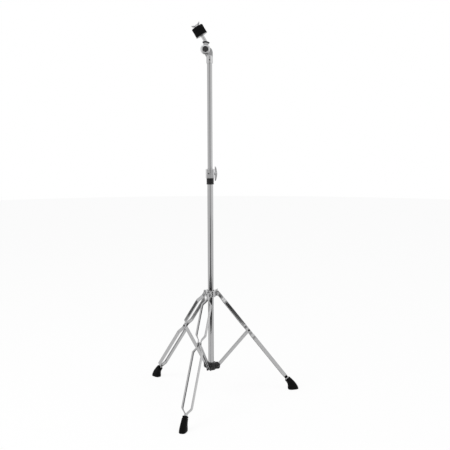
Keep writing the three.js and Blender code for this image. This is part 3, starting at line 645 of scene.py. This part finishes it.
strip_stations = [
    (strip_foot, pinched_gap, pinched_height),
    (shoe_top, pinched_gap, pinched_height),
    (shoe_top + bend_length, loop_gap, strip_height),
    (knee_along - knee_half - bend_length, loop_gap, strip_height),
    (knee_along - knee_half, knee_gap, knee_height),
    (knee_along + knee_half, knee_gap, knee_height),
    (knee_along + knee_half + bend_length, loop_gap, strip_height),
    (leg_length - top_pinch - bend_length, loop_gap, strip_height),
    (leg_length - top_pinch, pinched_gap, pinched_height),
    (leg_length, pinched_gap, pinched_height),
]


def strip(side):
    path = [strip_stations[0]]
    for start, end in zip(strip_stations, strip_stations[1:]):
        steps = 1 if start[1] == end[1] else bend_steps
        for step in range(1, steps + 1):
            part = step / steps
            ease = part * part * (3 - 2 * part)
            shares = (part, ease, ease)
            path.append([low + (high - low) * share for low, high, share in zip(start, end, shares)])
    path = [(*station, strip_half_width) for station in path]
    for turn in reversed(end_angles):
        half_width = max(strip_half_width * sin(turn), strip_metal + strip_tip_gap)
        path.append((leg_length + strip_half_width * cos(turn), pinched_gap, pinched_height, half_width))
    rings = []
    for along, gap, height, half_width in path:
        section = channel(half_width, gap, gap + height, strip_metal, press_corner)
        rings.append([(across, side * deep, along) for across, deep in section])
    holes = [drilled(rivet_hole_radius, 2 * loop_gap, moved(across, 0, along) @ along_y, sides=small_sides)
             for across, along in ((hub_pivot_across, leg_length), (knee_across, knee_along))]
    return worked([swept(rings)], holes)


for letter, side in (("a", 1), ("b", -1)):
    finished_per_leg(strip(side), on_leg, "pressed_strip_{}_" + letter, leg_plating, "leg_plate",
                     "leg_strip_{}_" + letter)

# Pivot rivets
# Nine tubular rivets: one at each brace foot, one at each knee and one at each leg top. One end is a domed
# head and the other is rolled over, which leaves its dimple. Those of the braces and knees are blackened.
rivet_radius = 2.5
rivet_head_radius = 4.5
rivet_head_height = 1.8
rivet_roll_edge = 0.5
rivet_roll = [(3.6, 0.3), (2.6, 0), (1.5, 0.3), (1.2, 1.3), (0, 1.3)]
pin_sides = 40


def pivot_rivet(half, steps=8):
    crown = half + rivet_head_height
    profile = [(0, -crown)]
    for step in range(1, steps + 1):
        turn = pi / 2 * step / steps
        profile.append((rivet_head_radius * sin(turn), -half - rivet_head_height * cos(turn)))
    profile += [(rivet_radius, -half), (rivet_radius, half)]
    profile += [(rivet_head_radius, half), (rivet_head_radius, half + rivet_roll_edge)]
    profile += [(radius, crown - depth) for radius, depth in rivet_roll]
    return placed(turned(profile, sides=pin_sides), along_y)


dark_steel = plating("blackened_steel", tone=0.06, rough=0.38, lay=(300, 300, 300), relief=0.03, mottle=0.25)
rivets = {
    "hub_rivet": (9.4, hub_pivot_radius, hub_pivot.z, fastener_plating, "plated_fastener"),
    "knee_rivet": (6.2, knee_radius, knee_pivot.z, dark_steel, "dark_steel"),
    "brace_rivet": (8.8, brace_pivot_radius, brace_pivot.z, dark_steel, "dark_steel"),
}
for kind, (half, radius, height, finish, slot) in rivets.items():
    finished_per_leg(pivot_rivet(half), moved(radius, 0, height), "tubular_" + kind + "_{}", finish, slot,
                     kind + "_{}")

# Upper hub
# A plated zinc casting that slides on the lower tube, with a pair of ears for each leg and a boss behind for
# the wing bolt. Its corners keep the soft radius of the die.
upper_hub_low = 400
upper_hub_high = 424
upper_bore = 13.4
upper_hub_radius = 18.4
upper_ear_reach = 32
upper_ear_low = 403.5
upper_ear_corner = 7
upper_ear_half = 8.8
upper_slot_half = 5.2
boss_radius = 7.5
boss_reach = 25
closing_hole_radius = 3.85
bolt_hole_radius = 3.3
casting_chrome = plating("plated_casting", tone=0.5, rough=0.15, lay=(220, 220, 220), relief=0.03)
ear_shape = oblong(upper_bore + 1, upper_ear_reach, upper_ear_low, upper_hub_high, upper_ear_corner)
slot_low = upper_hub_low - overrun
slot_high = upper_hub_high + overrun
slot_shape = oblong(upper_hub_radius, upper_ear_reach + overrun, slot_low, slot_high)
hub_pin = on_hub_pivot @ along_y
ears, gaps = hub_ears(ear_shape, upper_ear_half, slot_shape, upper_slot_half, closing_hole_radius, hub_pin)
body = bar(upper_hub_radius, upper_hub_low, upper_hub_high)
on_boss = behind @ moved(0, 0, hub_pivot.z) @ along_x
boss = placed(bar(boss_radius, 0, boss_reach), on_boss)
bolt_hole = drilled(bolt_hole_radius, 2 * boss_reach, on_boss, 0)
bm = worked([body, boss, *ears], [bar(upper_bore, slot_low, slot_high), bolt_hole, *gaps], skin=0.5, smooth=5)
finished(bm, on_column, "upper_hub_casting", casting_chrome, "chrome_casting", "upper_hub",
         crease=soft_crease)

# Bush of the upper hub
# A thin black nylon liner pressed into the casting, which keeps it from scratching the tube.
nylon_black = moulding("black_nylon", tone=0.008, rough=(0.3, 0.45), grain=(0.6, 0.02), dust=0.006, gloss=0.3)
hub_bush_inner = 11.85
hub_bush_outer = 13.1
bm = sleeve(hub_bush_inner, hub_bush_outer, upper_hub_low, upper_hub_high, lip=0.3)
finished(bm, on_column, "hub_liner", nylon_black, "plastic_black", "hub_bush")

# Wing bolt of the upper hub
# A die-cast wing head on a steel thread, screwed through the boss behind the column to lock the spread legs.
# The wings swell towards their tips and have thumb-rounded edges.
wing_thickness = 5
wing_squareness = 2.8
wing_curve = 1.7
wing_tip_squareness = 8
wing_edge_share = 0.35
wing_points = 32
stem_taper = 0.82
bolt_radius = 3
thread_pitch = 1
thread_depth = 0.5
thread_crest = (0.4, 0.6)
shank_overlap = 0.5
hub_bolt_seat = 25.3
hub_wing_turn = 60
hub_wings = dict(stem_radius=6, stem_height=9, span=40, centre=4.5, rise=11, root=7, tip=9)


def oval(half_wide, half_high, squareness, points):
    """The (wide, high) points of an oval that grows squarer as squareness rises from 2."""
    ring = []
    for number in range(points):
        turn = 2 * pi * number / points
        wide, high = (copysign(abs(share) ** (2 / squareness), share) for share in (cos(turn), sin(turn)))
        ring.append((wide * half_wide, high * half_high))
    return ring


def wing_blade(span, centre, rise, root, tip, steps=24):
    """Both wings as one bar along X whose oval section swells and bends from the middle to the tips."""
    rings = []
    for step in range(-steps, steps + 1):
        part = sin(pi / 2 * step / (steps + 0.7))
        fullness = sqrt(1 - abs(part) ** wing_tip_squareness)
        half_high = (root + (tip - root) * abs(part)) / 2 * fullness
        middle = centre + rise * abs(part) ** wing_curve
        half_thick = wing_thickness / 2 * (wing_edge_share + (1 - wing_edge_share) * fullness)
        section = oval(half_thick, half_high, wing_squareness, wing_points)
        rings.append([(span / 2 * part, wide, middle + high) for wide, high in section])
    return swept(rings)


def threaded(radius, low, high, tip=0.8):
    """A rod with a rolled thread, turned as close rings, and a chamfered tip at the high end."""
    count = int((high - low - tip) / thread_pitch)
    profile = [(0, low), (radius - thread_depth, low)]
    for number in range(count):
        start = low + number * thread_pitch
        profile += [(radius, start + thread_pitch * share) for share in thread_crest]
        profile.append((radius - thread_depth, start + thread_pitch))
    profile[-1] = (radius - thread_depth, high - tip)
    profile += [(radius - thread_depth - tip, high), (0, high)]
    return turned(profile, sides=32)


def wing_casting(stem_radius, stem_height, bore=0.0, **blade):
    """A wing head standing on its seat with its axis along Z."""
    stem = turned([(0, 0), (stem_radius, 0), (stem_radius * stem_taper, stem_height), (0, stem_height)])
    cuts = [drilled(bore, stem_height + blade["span"], flat, -overrun)] if bore else []
    return worked([stem, wing_blade(**blade)], cuts, skin=0.4, smooth=4)


def together(first, second):
    """One shape from two that touch but keep their own skins."""
    mesh = meshed(second, "added")
    first.from_mesh(mesh)
    bpy.data.meshes.remove(mesh)
    return first


def wing_bolt(wings, length):
    """A wing head with its threaded shank, which points towards -Z from the seat."""
    head = wing_casting(**wings)
    shank = threaded(bolt_radius, -shank_overlap, length)
    return together(head, placed(shank, Matrix.Rotation(pi, 4, "X")))


wing_plating = plating("plated_wing", tone=0.46, rough=0.22, lay=(260, 260, 260), relief=0.03, mottle=0.06)
bm = wing_bolt(hub_wings, hub_bolt_seat - upper_bore)
place = on_column @ behind @ moved(hub_bolt_seat, 0, hub_pivot.z) @ along_x @ headed(hub_wing_turn)
finished(bm, place, "hub_lock_bolt", wing_plating, "plated_fastener", "hub_wing_bolt")

# Rubber feet
# Black moulded rubber boots pushed on to the pinched strip ends. They swell from a square neck with a bead
# to a long oval sole that stands flat on the floor.
foot_top_along = 57
foot_groove = 1.1
foot_squareness = 2.7
foot_bow = 0.6
sole_inward = 9.5
sole_depth = 43
sole_width = 27
neck_depth = 24
neck_width = 20.4
foot_points = 56
pocket_half_depth = 7.4
pocket_half_width = 5
pocket_floor = 34.6
swell_shares = [(0, 0.93), (0.012, 0.98), (0.05, 1), (0.2, 0.9), (0.4, 0.6), (0.6, 0.32), (0.8, 0.1),
                (0.87, 0.06), (0.95, 0.01), (0.975, -0.04), (0.99, -0.12), (1, -0.3)]
groove_shares = [(0.868, 0), (0.884, 1), (0.934, 1), (0.95, 0)]
foot_steps = 34
foot_breaks = {0.012, 0.868, 0.884, 0.934, 0.95, 0.99}
leg_floor_radius = hub_pivot_radius - hub_pivot_across * cos(leg_lean) + leg_length * sin(leg_lean)


def between(shares, at):
    """The value at a place along a table of (place, value) shares."""
    for (start, low), (end, high) in zip(shares, shares[1:]):
        if at <= end:
            part = max(at - start, 0) / (end - start)
            return low + (high - low) * part
    return shares[-1][1]


def foot_ring(part):
    sole_radius = leg_floor_radius - sole_inward
    neck_radius = leg_floor_radius - foot_top_along * sin(leg_lean)
    bow = sole_inward * sin(part * pi) * foot_bow
    radius = sole_radius + bow + (neck_radius - sole_radius) * part
    height = foot_top_along * cos(leg_lean) * part
    lean = leg_lean * part * part
    groove = between(groove_shares, part) * foot_groove
    swell = between(swell_shares, part)
    half_depth = (neck_depth + (sole_depth - neck_depth) * swell) / 2 - groove
    half_width = (neck_width + (sole_width - neck_width) * swell) / 2 - groove
    section = oval(half_depth, half_width, foot_squareness, foot_points)
    return [(radius + deep * cos(lean), wide, height + deep * sin(lean)) for deep, wide in section]


foot_parts = sorted({step / foot_steps for step in range(foot_steps + 1)} | foot_breaks)
pocket = bmesh.new()
bmesh.ops.create_cube(pocket, size=2)
pocket_half_length = (foot_top_along + overrun - pocket_floor) / 2
pocket_place = moved(leg_floor_radius, 0, 0) @ Matrix.Rotation(-leg_lean, 4, "Y")
pocket_size = Matrix.Diagonal((pocket_half_depth, pocket_half_width, pocket_half_length, 1))
placed(pocket, pocket_place @ moved(0, 0, pocket_floor + pocket_half_length) @ pocket_size)
foot_rubber = moulding("foot_rubber", tone=0.0015, rough=(0.5, 0.68), grain=(0.5, 0.03), dust=0.002,
                       gloss=0.08)
foot = worked([swept([foot_ring(part) for part in foot_parts])], [pocket])
finished_per_leg(foot, flat, "rubber_foot_{}", foot_rubber, "rubber_black", "foot_{}", crease=50)

# Height clamp
# A plated casting around the top of the lower tube, split at the front between two square ears. The wing bolt
# draws the ears together and so grips the upper tube through the bush.
fitting_heading = 16.7
on_fitting = on_column @ headed(fitting_heading)
clamp_low, clamp_high = heights("height_clamp")
clamp_middle = (clamp_low + clamp_high) / 2
clamp_bore = 12.525
clamp_radius = 15.625
clamp_ear_half = 16.625
clamp_ear_front = 25.025
clamp_corner = 5
clamp_slit = 2
clamp_bolt_forward = 17.625
clamp_pin_aside = 5.6
clamp_pin_radius = 2.2
clamp_pin_hole = 3.4
clamp_lip = 1.2
ears = plate(outline((-clamp_ear_half, 0, 0), (-clamp_ear_half, -clamp_ear_front, clamp_corner),
                     (clamp_ear_half, -clamp_ear_front, clamp_corner), (clamp_ear_half, 0, 0)),
             -clamp_high, -clamp_low, clamp_lip)
slit = plate(oblong(-clamp_slit / 2, clamp_slit / 2, -clamp_ear_front - overrun, overrun),
             -clamp_high - overrun, -clamp_low + overrun)
bolt_line = moved(0, -clamp_bolt_forward, clamp_middle) @ along_x
bolt_hole = drilled(bolt_hole_radius, 2 * clamp_ear_half, bolt_line)
pin_line = moved(-clamp_pin_aside, 0, clamp_middle) @ along_y
pin_hole = drilled(clamp_pin_radius + fit, clamp_pin_hole - clamp_ear_front, pin_line, -2 * clamp_ear_front)
cuts = [bar(tube_radius + fit, clamp_low - overrun, tube_high.z + fit),
        bar(clamp_bore, tube_high.z, clamp_high + overrun), placed(slit, along_y), bolt_hole, pin_hole]
bm = worked([bar(clamp_radius, clamp_low, clamp_high), placed(ears, along_y)], cuts, skin=0.4, smooth=4)
bright_casting = plating("bright_plated_casting", tone=0.62, rough=0.15, lay=(220, 220, 220), relief=0.03)
finished(bm, on_fitting, "clamp_casting", bright_casting, "chrome_casting", "height_clamp",
         crease=soft_crease)

# Pin and bush of the height clamp
# A dark steel dowel shows as a dot in the left ear. Behind it a black nylon bush fills the clamp above the
# lower tube and grips the upper one.
pin_front = fit - clamp_ear_front
pin_length = 2.8
pin_lip = 0.4
bush_inner = 9.825
bush_outer = 12.225
bush_low = tube_high.z + 2 * fit
bm = bar(clamp_pin_radius, pin_front, pin_front + pin_length, pin_sides, pin_lip)
finished(bm, on_fitting @ pin_line, "clamp_dowel", dark_steel, "dark_steel", "clamp_pin")
bm = sleeve(bush_inner, bush_outer, bush_low, clamp_high, lip=0.5)
finished(bm, on_fitting, "clamp_liner", nylon_black, "plastic_black", "clamp_bush")

# Clamp band
# A black moulded sleeve under the clamp, with a plain field above a groove and a plain ring below it.
band_low, band_high = heights("clamp_band")
band_inner = 11.4
band_outer = 13.7
band_groove = 0.9
groove_share = 0.33
groove_height = band_low + (band_high - band_low) * groove_share
bm = turned([(band_inner, band_low), (band_outer, band_low), (band_outer, groove_height - band_groove),
             (band_outer - band_groove, groove_height), (band_outer, groove_height + band_groove),
             (band_outer, band_high), (band_inner, band_high)], lip=0.4)
finished(bm, on_fitting, "band_sleeve", nylon_black, "plastic_black", "clamp_band")

# Wing bolt of the height clamp
# A larger die-cast head whose wings curl back like a crescent, so that they clear the clamp as they turn.
clamp_wings = dict(stem_radius=6, stem_height=9.5, span=54, centre=5.6, rise=-3.4, root=8, tip=6.5)
clamp_bolt_seat = clamp_ear_half + fit
bm = wing_bolt(clamp_wings, 2 * clamp_ear_half - bolt_radius)
place = on_fitting @ moved(clamp_bolt_seat, -clamp_bolt_forward, clamp_middle) @ along_x
finished(bm, place, "clamp_lock_bolt", wing_plating, "plated_fastener", "clamp_wing_bolt")

# Upper column tube
# The 19 mm tube that slides in the lower one. Its head is pinned into the tilter's socket, and the pin's
# cross hole lies inside the socket, so only the plain polished length shows.
post_low, post_high = heights("upper_tube")
post_radius = 9.525
cross_pin_height = 1288
cross_pin_radius = 2.2
on_cross_pin = moved(0, 0, cross_pin_height) @ along_y
cross_hole = drilled(cross_pin_radius + fit, 2 * post_radius, on_cross_pin)
bm = worked([tube(post_radius, post_low, post_high)], [cross_hole])
finished(bm, on_fitting, "upper_column_tube", tube_chrome, "chrome_tube", "upper_tube")

# Lower tilter casting
# A plated zinc casting: a cup pinned over the upper tube, whose neck rises at its right into half of a
# toothed joint. The neck wraps round the other half without touching it.
tilt_pivot = pivots["cymbal_tilt"]
on_tilter = Matrix.Translation(tilt_pivot) @ headed(fitting_heading)
tilter_offset = 15
disc_radius = 18.5
disc_thickness = 8
disc_face = 1.35
tooth_count = 24
tooth_height = 1.2
tooth_depth = 0.6
tooth_outer = 17.6
tooth_inner = 10
casting_half = 7
casting_lip = 1.2
neck_top = radians(18)
neck_foot = radians(261)
neck_steps = 12
socket_radius = 12.225
socket_foot = 1276
socket_length = 27.5
socket_low = socket_foot - tilt_pivot.z
socket_high = socket_low + socket_length
socket_roof = 5
neck_shoulder = 10
shoulder_clearance = 0.8


def arc(radius, start, end, steps):
    angles = [start + (end - start) * step / steps for step in range(steps + 1)]
    return [Vector((radius * cos(turn), radius * sin(turn))) for turn in angles]


def joint_disc(radius, near, far, lip=0.0):
    return plate(arc(radius, 0, 2 * pi, 72)[:-1], near, far, lip)


def tooth_ring():
    """Radial teeth that point towards -Y from the plane y = 0."""
    bm = bmesh.new()
    loops = []
    crests = [0 if number % 2 else -tooth_height for number in range(2 * tooth_count)]
    roots = [tooth_depth] * len(crests)
    rims = (tooth_inner, roots), (tooth_outer, roots), (tooth_outer, crests), (tooth_inner, crests)
    for radius, heights in rims:
        points = []
        for number, height in enumerate(heights):
            turn = pi * number / tooth_count
            points.append(bm.verts.new((radius * cos(turn), height, radius * sin(turn))))
        loops.append([bm.edges.new(pair) for pair in zip(points, points[1:] + points[:1])])
    for first, second in zip(loops, loops[1:] + loops[:1]):
        bmesh.ops.bridge_loops(bm, edges=first + second)
    bmesh.ops.recalc_face_normals(bm, faces=bm.faces)
    return bm


neck_left = tilter_offset - socket_radius
neck_right = tilter_offset + socket_radius
neck_floor = socket_high - socket_roof
bend_from = Vector((neck_right, socket_high + neck_shoulder))
neck_shape = [Vector((neck_left, neck_floor)), Vector((neck_right, neck_floor)), bend_from]
bend_by = Vector((neck_right - shoulder_clearance, 0))
bend_to = arc(disc_radius, neck_top, neck_foot, 1)[0]
for step in range(1, neck_steps):
    part = step / neck_steps
    neck_shape.append(bend_from * (1 - part) ** 2 + bend_by * 2 * part * (1 - part) + bend_to * part ** 2)
neck_shape += arc(disc_radius, neck_top, neck_foot, 48)
offset = moved(tilter_offset, 0, 0)
cup = placed(bar(socket_radius, socket_low, socket_high, lip=casting_lip), offset)
front_neck = worked([plate(neck_shape, -casting_half, casting_half, casting_lip)],
                    [joint_disc(disc_radius + shoulder_clearance, -casting_half - overrun, disc_face)])
back_plate = plate(neck_shape, disc_face, disc_thickness, lip=1.0)
teeth = placed(tooth_ring(), moved(0, disc_face, 0))
pin_place = moved(tilter_offset, 0, cross_pin_height - tilt_pivot.z) @ along_y
cuts = [placed(bar(post_radius + fit, socket_low - overrun, neck_floor), offset),
        drilled(bolt_hole_radius, 3 * disc_thickness, along_y),
        drilled(cross_pin_radius + fit, 2 * socket_radius, pin_place)]
bm = worked([cup, back_plate, front_neck, teeth], cuts, skin=0.36, smooth=3)
finished(bm, on_tilter, "tilter_socket_casting", casting_chrome, "chrome_casting", "tilter_socket",
         crease=soft_crease)

# Socket cross pin
# A dark steel spring pin driven through the socket and the upper tube, flush at both sides.
cross_pin_half = 12
bm = bar(cross_pin_radius, -cross_pin_half, cross_pin_half, pin_sides, pin_lip)
finished(bm, on_fitting @ on_cross_pin, "socket_spring_pin", dark_steel, "dark_steel", "socket_pin")

# Upper tilter casting
# The other half of the toothed joint, with a deep round recess for the bolt head and a shoulder round its
# right that carries the rod, with a black arch of painted shade between them.
shoulder_radius = 22.8
shoulder_near = radians(8)
shoulder_far = radians(65)
recess_radius = 10.5
recess_depth = 4
disc_crown = 1.9
crown_parts = (0, 0.3, 0.5, 0.65, 0.8, 0.9, 1)
crown_lip = 0.6
shoulder_lip = 0.8
shoulder_root = 2
thread_radius = 3.9
thread_bore = thread_radius + fit
arm_tilt = radians(31)
on_arm = on_tilter @ Matrix.Rotation(-arm_tilt, 4, "Y")


def shoulder_sector(inner, outer):
    start = pi / 2 - shoulder_far
    end = pi / 2 - shoulder_near
    return arc(outer, start, end, 20) + arc(inner, end, start, 20)


crown = [(disc_radius * part, -disc_thickness + disc_crown * part ** 3) for part in crown_parts]
crowned_disc = turned([*crown, (disc_radius, -disc_face), (0, -disc_face)], crown_lip)
shoulder_front = shoulder_sector(disc_radius - shoulder_root, shoulder_radius)
shoulder_back = shoulder_sector(disc_radius + shoulder_clearance, shoulder_radius)
thread_hole = drilled(thread_bore, shoulder_radius + overrun, offset, disc_radius)
shapes = [placed(crowned_disc, along_y),
          plate(shoulder_front, -disc_thickness, -disc_face, shoulder_lip),
          plate(shoulder_back, -2 * disc_face, casting_half, shoulder_lip),
          placed(tooth_ring(), moved(0, -disc_face, 0) @ headed(180))]
cuts = [joint_disc(recess_radius, -disc_thickness - overrun, -disc_thickness + recess_depth),
        drilled(bolt_hole_radius, 3 * disc_thickness, along_y), thread_hole]
bm = worked(shapes, cuts, skin=0.33, smooth=3)
finished(bm, on_arm, "tilter_arm_casting", bright_casting, "chrome_casting", "tilter_arm",
         crease=soft_crease)

# Black arch of painted shade
# A black moulded arch between the casting's shoulder and the coped foot of the rod. It is painted shade: a
# dark piece that stands in for the shadow gap where the rod's foot meets the toothed joint.
shadow_arch_inner = 23.1
shadow_arch_outer = 28.5
# This arch is painted shade: a black piece that stands in for the shadow gap where the rod's foot meets the
# joint.
saddle = plate(shoulder_sector(shadow_arch_inner, shadow_arch_outer), -casting_half, casting_half, lip=0.9, steps=4)
bm = worked([saddle], [drilled(thread_bore, 2 * shoulder_radius, offset, 0)])
finished(bm, on_arm, "painted_shadow_arch", gloss_black, "plastic_black", "arm_saddle", crease=40)

# Arm rod
# A plated steel rod coped over the black arch of painted shade. Its lower end is screwed into the shoulder,
# and above the seat it steps down to the thread that carries the felts and the wing nut.
rod_radius = 6.4
cope_radius = 28.8
stud_foot = 18.8
seat_along = 48
thread_top = 91.7
rod_chrome = plating("turned_rod_chrome", tone=0.52, rough=0.15, lay=(400, 400, 1600))
cope = joint_disc(cope_radius, -3 * rod_radius, 3 * rod_radius)
blank = bar(rod_radius, 0, seat_along, lip=0.5)
body = worked([placed(blank, offset)], [cope])
stud = placed(threaded(thread_radius, stud_foot, thread_top), offset)
finished(together(body, stud), on_arm, "seat_rod", rod_chrome, "chrome_tube", "arm_rod")

# Seat cup
# A black moulded washer with a raised rim that carries the lower felt.
on_seat = on_arm @ offset
cup_low = seat_along + fit
cup_radius = 23
cup_thickness = 2.6
cup_chamfer = 1.2
cup_high = cup_low + cup_thickness
bm = turned([(thread_bore, cup_low), (cup_radius - cup_chamfer, cup_low), (cup_radius, cup_low + cup_chamfer),
             (cup_radius, cup_high), (thread_bore, cup_high)], lip=0.35)
finished(bm, on_seat, "seat_washer", gloss_black, "plastic_black", "seat_cup")

# Felts
# Two thick washers cut from pressed black wool felt, which hold the cymbal between them. The cut edges are
# a little rounded and the whole surface is fuzzy.
felt_radius = 22
felt_bore = 6.7
felt_thickness = 16.3
felt_edge = 1.9
felt_fuzz = 0.15
fuzz_scale = 0.9
fuzz_shift = Vector((31, 0, 0))
felt_low = {"lower_felt": 51.2, "upper_felt": 67.8}
felt_sides = 128
wool_felt, tree = blank_finish("pressed_wool_felt")
fibres = soft_noise(tree, scale=900, detail=6, distortion=2.5)
tufts = soft_noise(tree, scale=160, detail=4)
fuzz = wired(tree, "Math", {0: fibres, 1: 0.5, 2: tufts}, "MULTIPLY_ADD").outputs[0]
surfaced(tree, {
    "Base Color": blended(tree, fibres, 0.35, (0.0015, 0.0015, 0.0017, 1), 0.75, (0.008, 0.008, 0.0085, 1)),
    "Roughness": 0.95,
    "Specular IOR Level": 0.05,
    "Sheen Weight": 0.015,
    "Sheen Roughness": 0.6,
    "Normal": raised(tree, fuzz, height=0.4, strength=0.9),
})


def tufted(spot):
    return noise.fractal(spot, 1.0, 2.0, 4)


for node, low in felt_low.items():
    bm = sleeve(felt_bore, felt_radius, low, low + felt_thickness, felt_sides, felt_edge)
    long_edges = [edge for edge in bm.edges if edge.calc_length() > 2]
    bmesh.ops.subdivide_edges(bm, edges=long_edges, cuts=11, use_grid_fill=True)
    for point in bm.verts:
        spot = point.co * fuzz_scale + Vector((0, 0, low))
        inward = Vector((point.co.x, point.co.y, 0)).normalized() * tufted(spot)
        upward = Vector((0, 0, 1)) * tufted(spot + fuzz_shift)
        point.co -= (inward + upward) * felt_fuzz
    piece = finished(bm, on_seat, f"pressed_{node}", wool_felt, "felt_black", node, crease=80)

# Felt sleeve
# A black nylon tube over the thread, which keeps the felts and the cymbal off it.
sleeve_radius = 6.2
stack_top = 84.1
bm = sleeve(thread_bore, sleeve_radius, felt_low["lower_felt"], stack_top - fit, lip=0.3)
finished(bm, on_seat, "thread_sleeve", nylon_black, "plastic_black", "felt_sleeve")

# Wing nut on top
# A small plated wing nut that closes the stack of felts.
top_wings = dict(stem_radius=7, stem_height=8, span=34, centre=4, rise=7, root=6, tip=7.5)
bm = wing_casting(**top_wings, bore=thread_bore)
place = on_seat @ moved(0, 0, stack_top + fit)
finished(bm, place, "seat_wing_nut", wing_plating, "plated_fastener", "top_wing_nut")

# Tilter bolt, washer and wing nut
# A dark hexagon bolt sits in the recess and clamps the toothed halves with a plated wing nut behind them.
hex_radius = 7.4
hex_height = 5.2
hex_chamfer = 0.8
hex_face_share = 0.84
bolt_flange = 1.6
flange_clearance = 0.4
bolt_neck = 1
bolt_projection = 14
bolt_seat = -disc_thickness + recess_depth - fit
bolt_length = disc_thickness + bolt_projection - bolt_seat
hexagon = turned([(0, -hex_height), (hex_radius * hex_face_share, -hex_height),
                  (hex_radius, hex_chamfer - hex_height), (hex_radius, 0), (0, 0)], sides=6)
flange = bar(recess_radius - flange_clearance, -bolt_flange, 0, lip=0.2)
bm = together(together(hexagon, flange), threaded(bolt_radius, -bolt_neck, bolt_length))
place = on_tilter @ moved(0, bolt_seat, 0) @ along_y
finished(bm, place, "tilter_hex_bolt", dark_steel, "dark_steel", "tilter_bolt")
washer_radius = 7.8
washer_thickness = 1.4
washer_low = disc_thickness + fit
washer_high = washer_low + washer_thickness
bm = sleeve(bolt_hole_radius, washer_radius, washer_low, washer_high, lip=0.25)
finished(bm, on_tilter @ along_y, "plated_washer", fastener_plating, "plated_fastener", "tilter_washer")
tilter_wings = dict(stem_radius=6.5, stem_height=10, span=42, centre=4.5, rise=11, root=7, tip=9)
bm = wing_casting(**tilter_wings, bore=bolt_hole_radius)
place = on_tilter @ moved(0, washer_high + fit, 0) @ along_y @ headed(90)
finished(bm, place, "tilter_wing", wing_plating, "plated_fastener", "tilter_wing_nut")

# Last update
# The view layer is brought up to date once more.
bpy.context.view_layer.update()
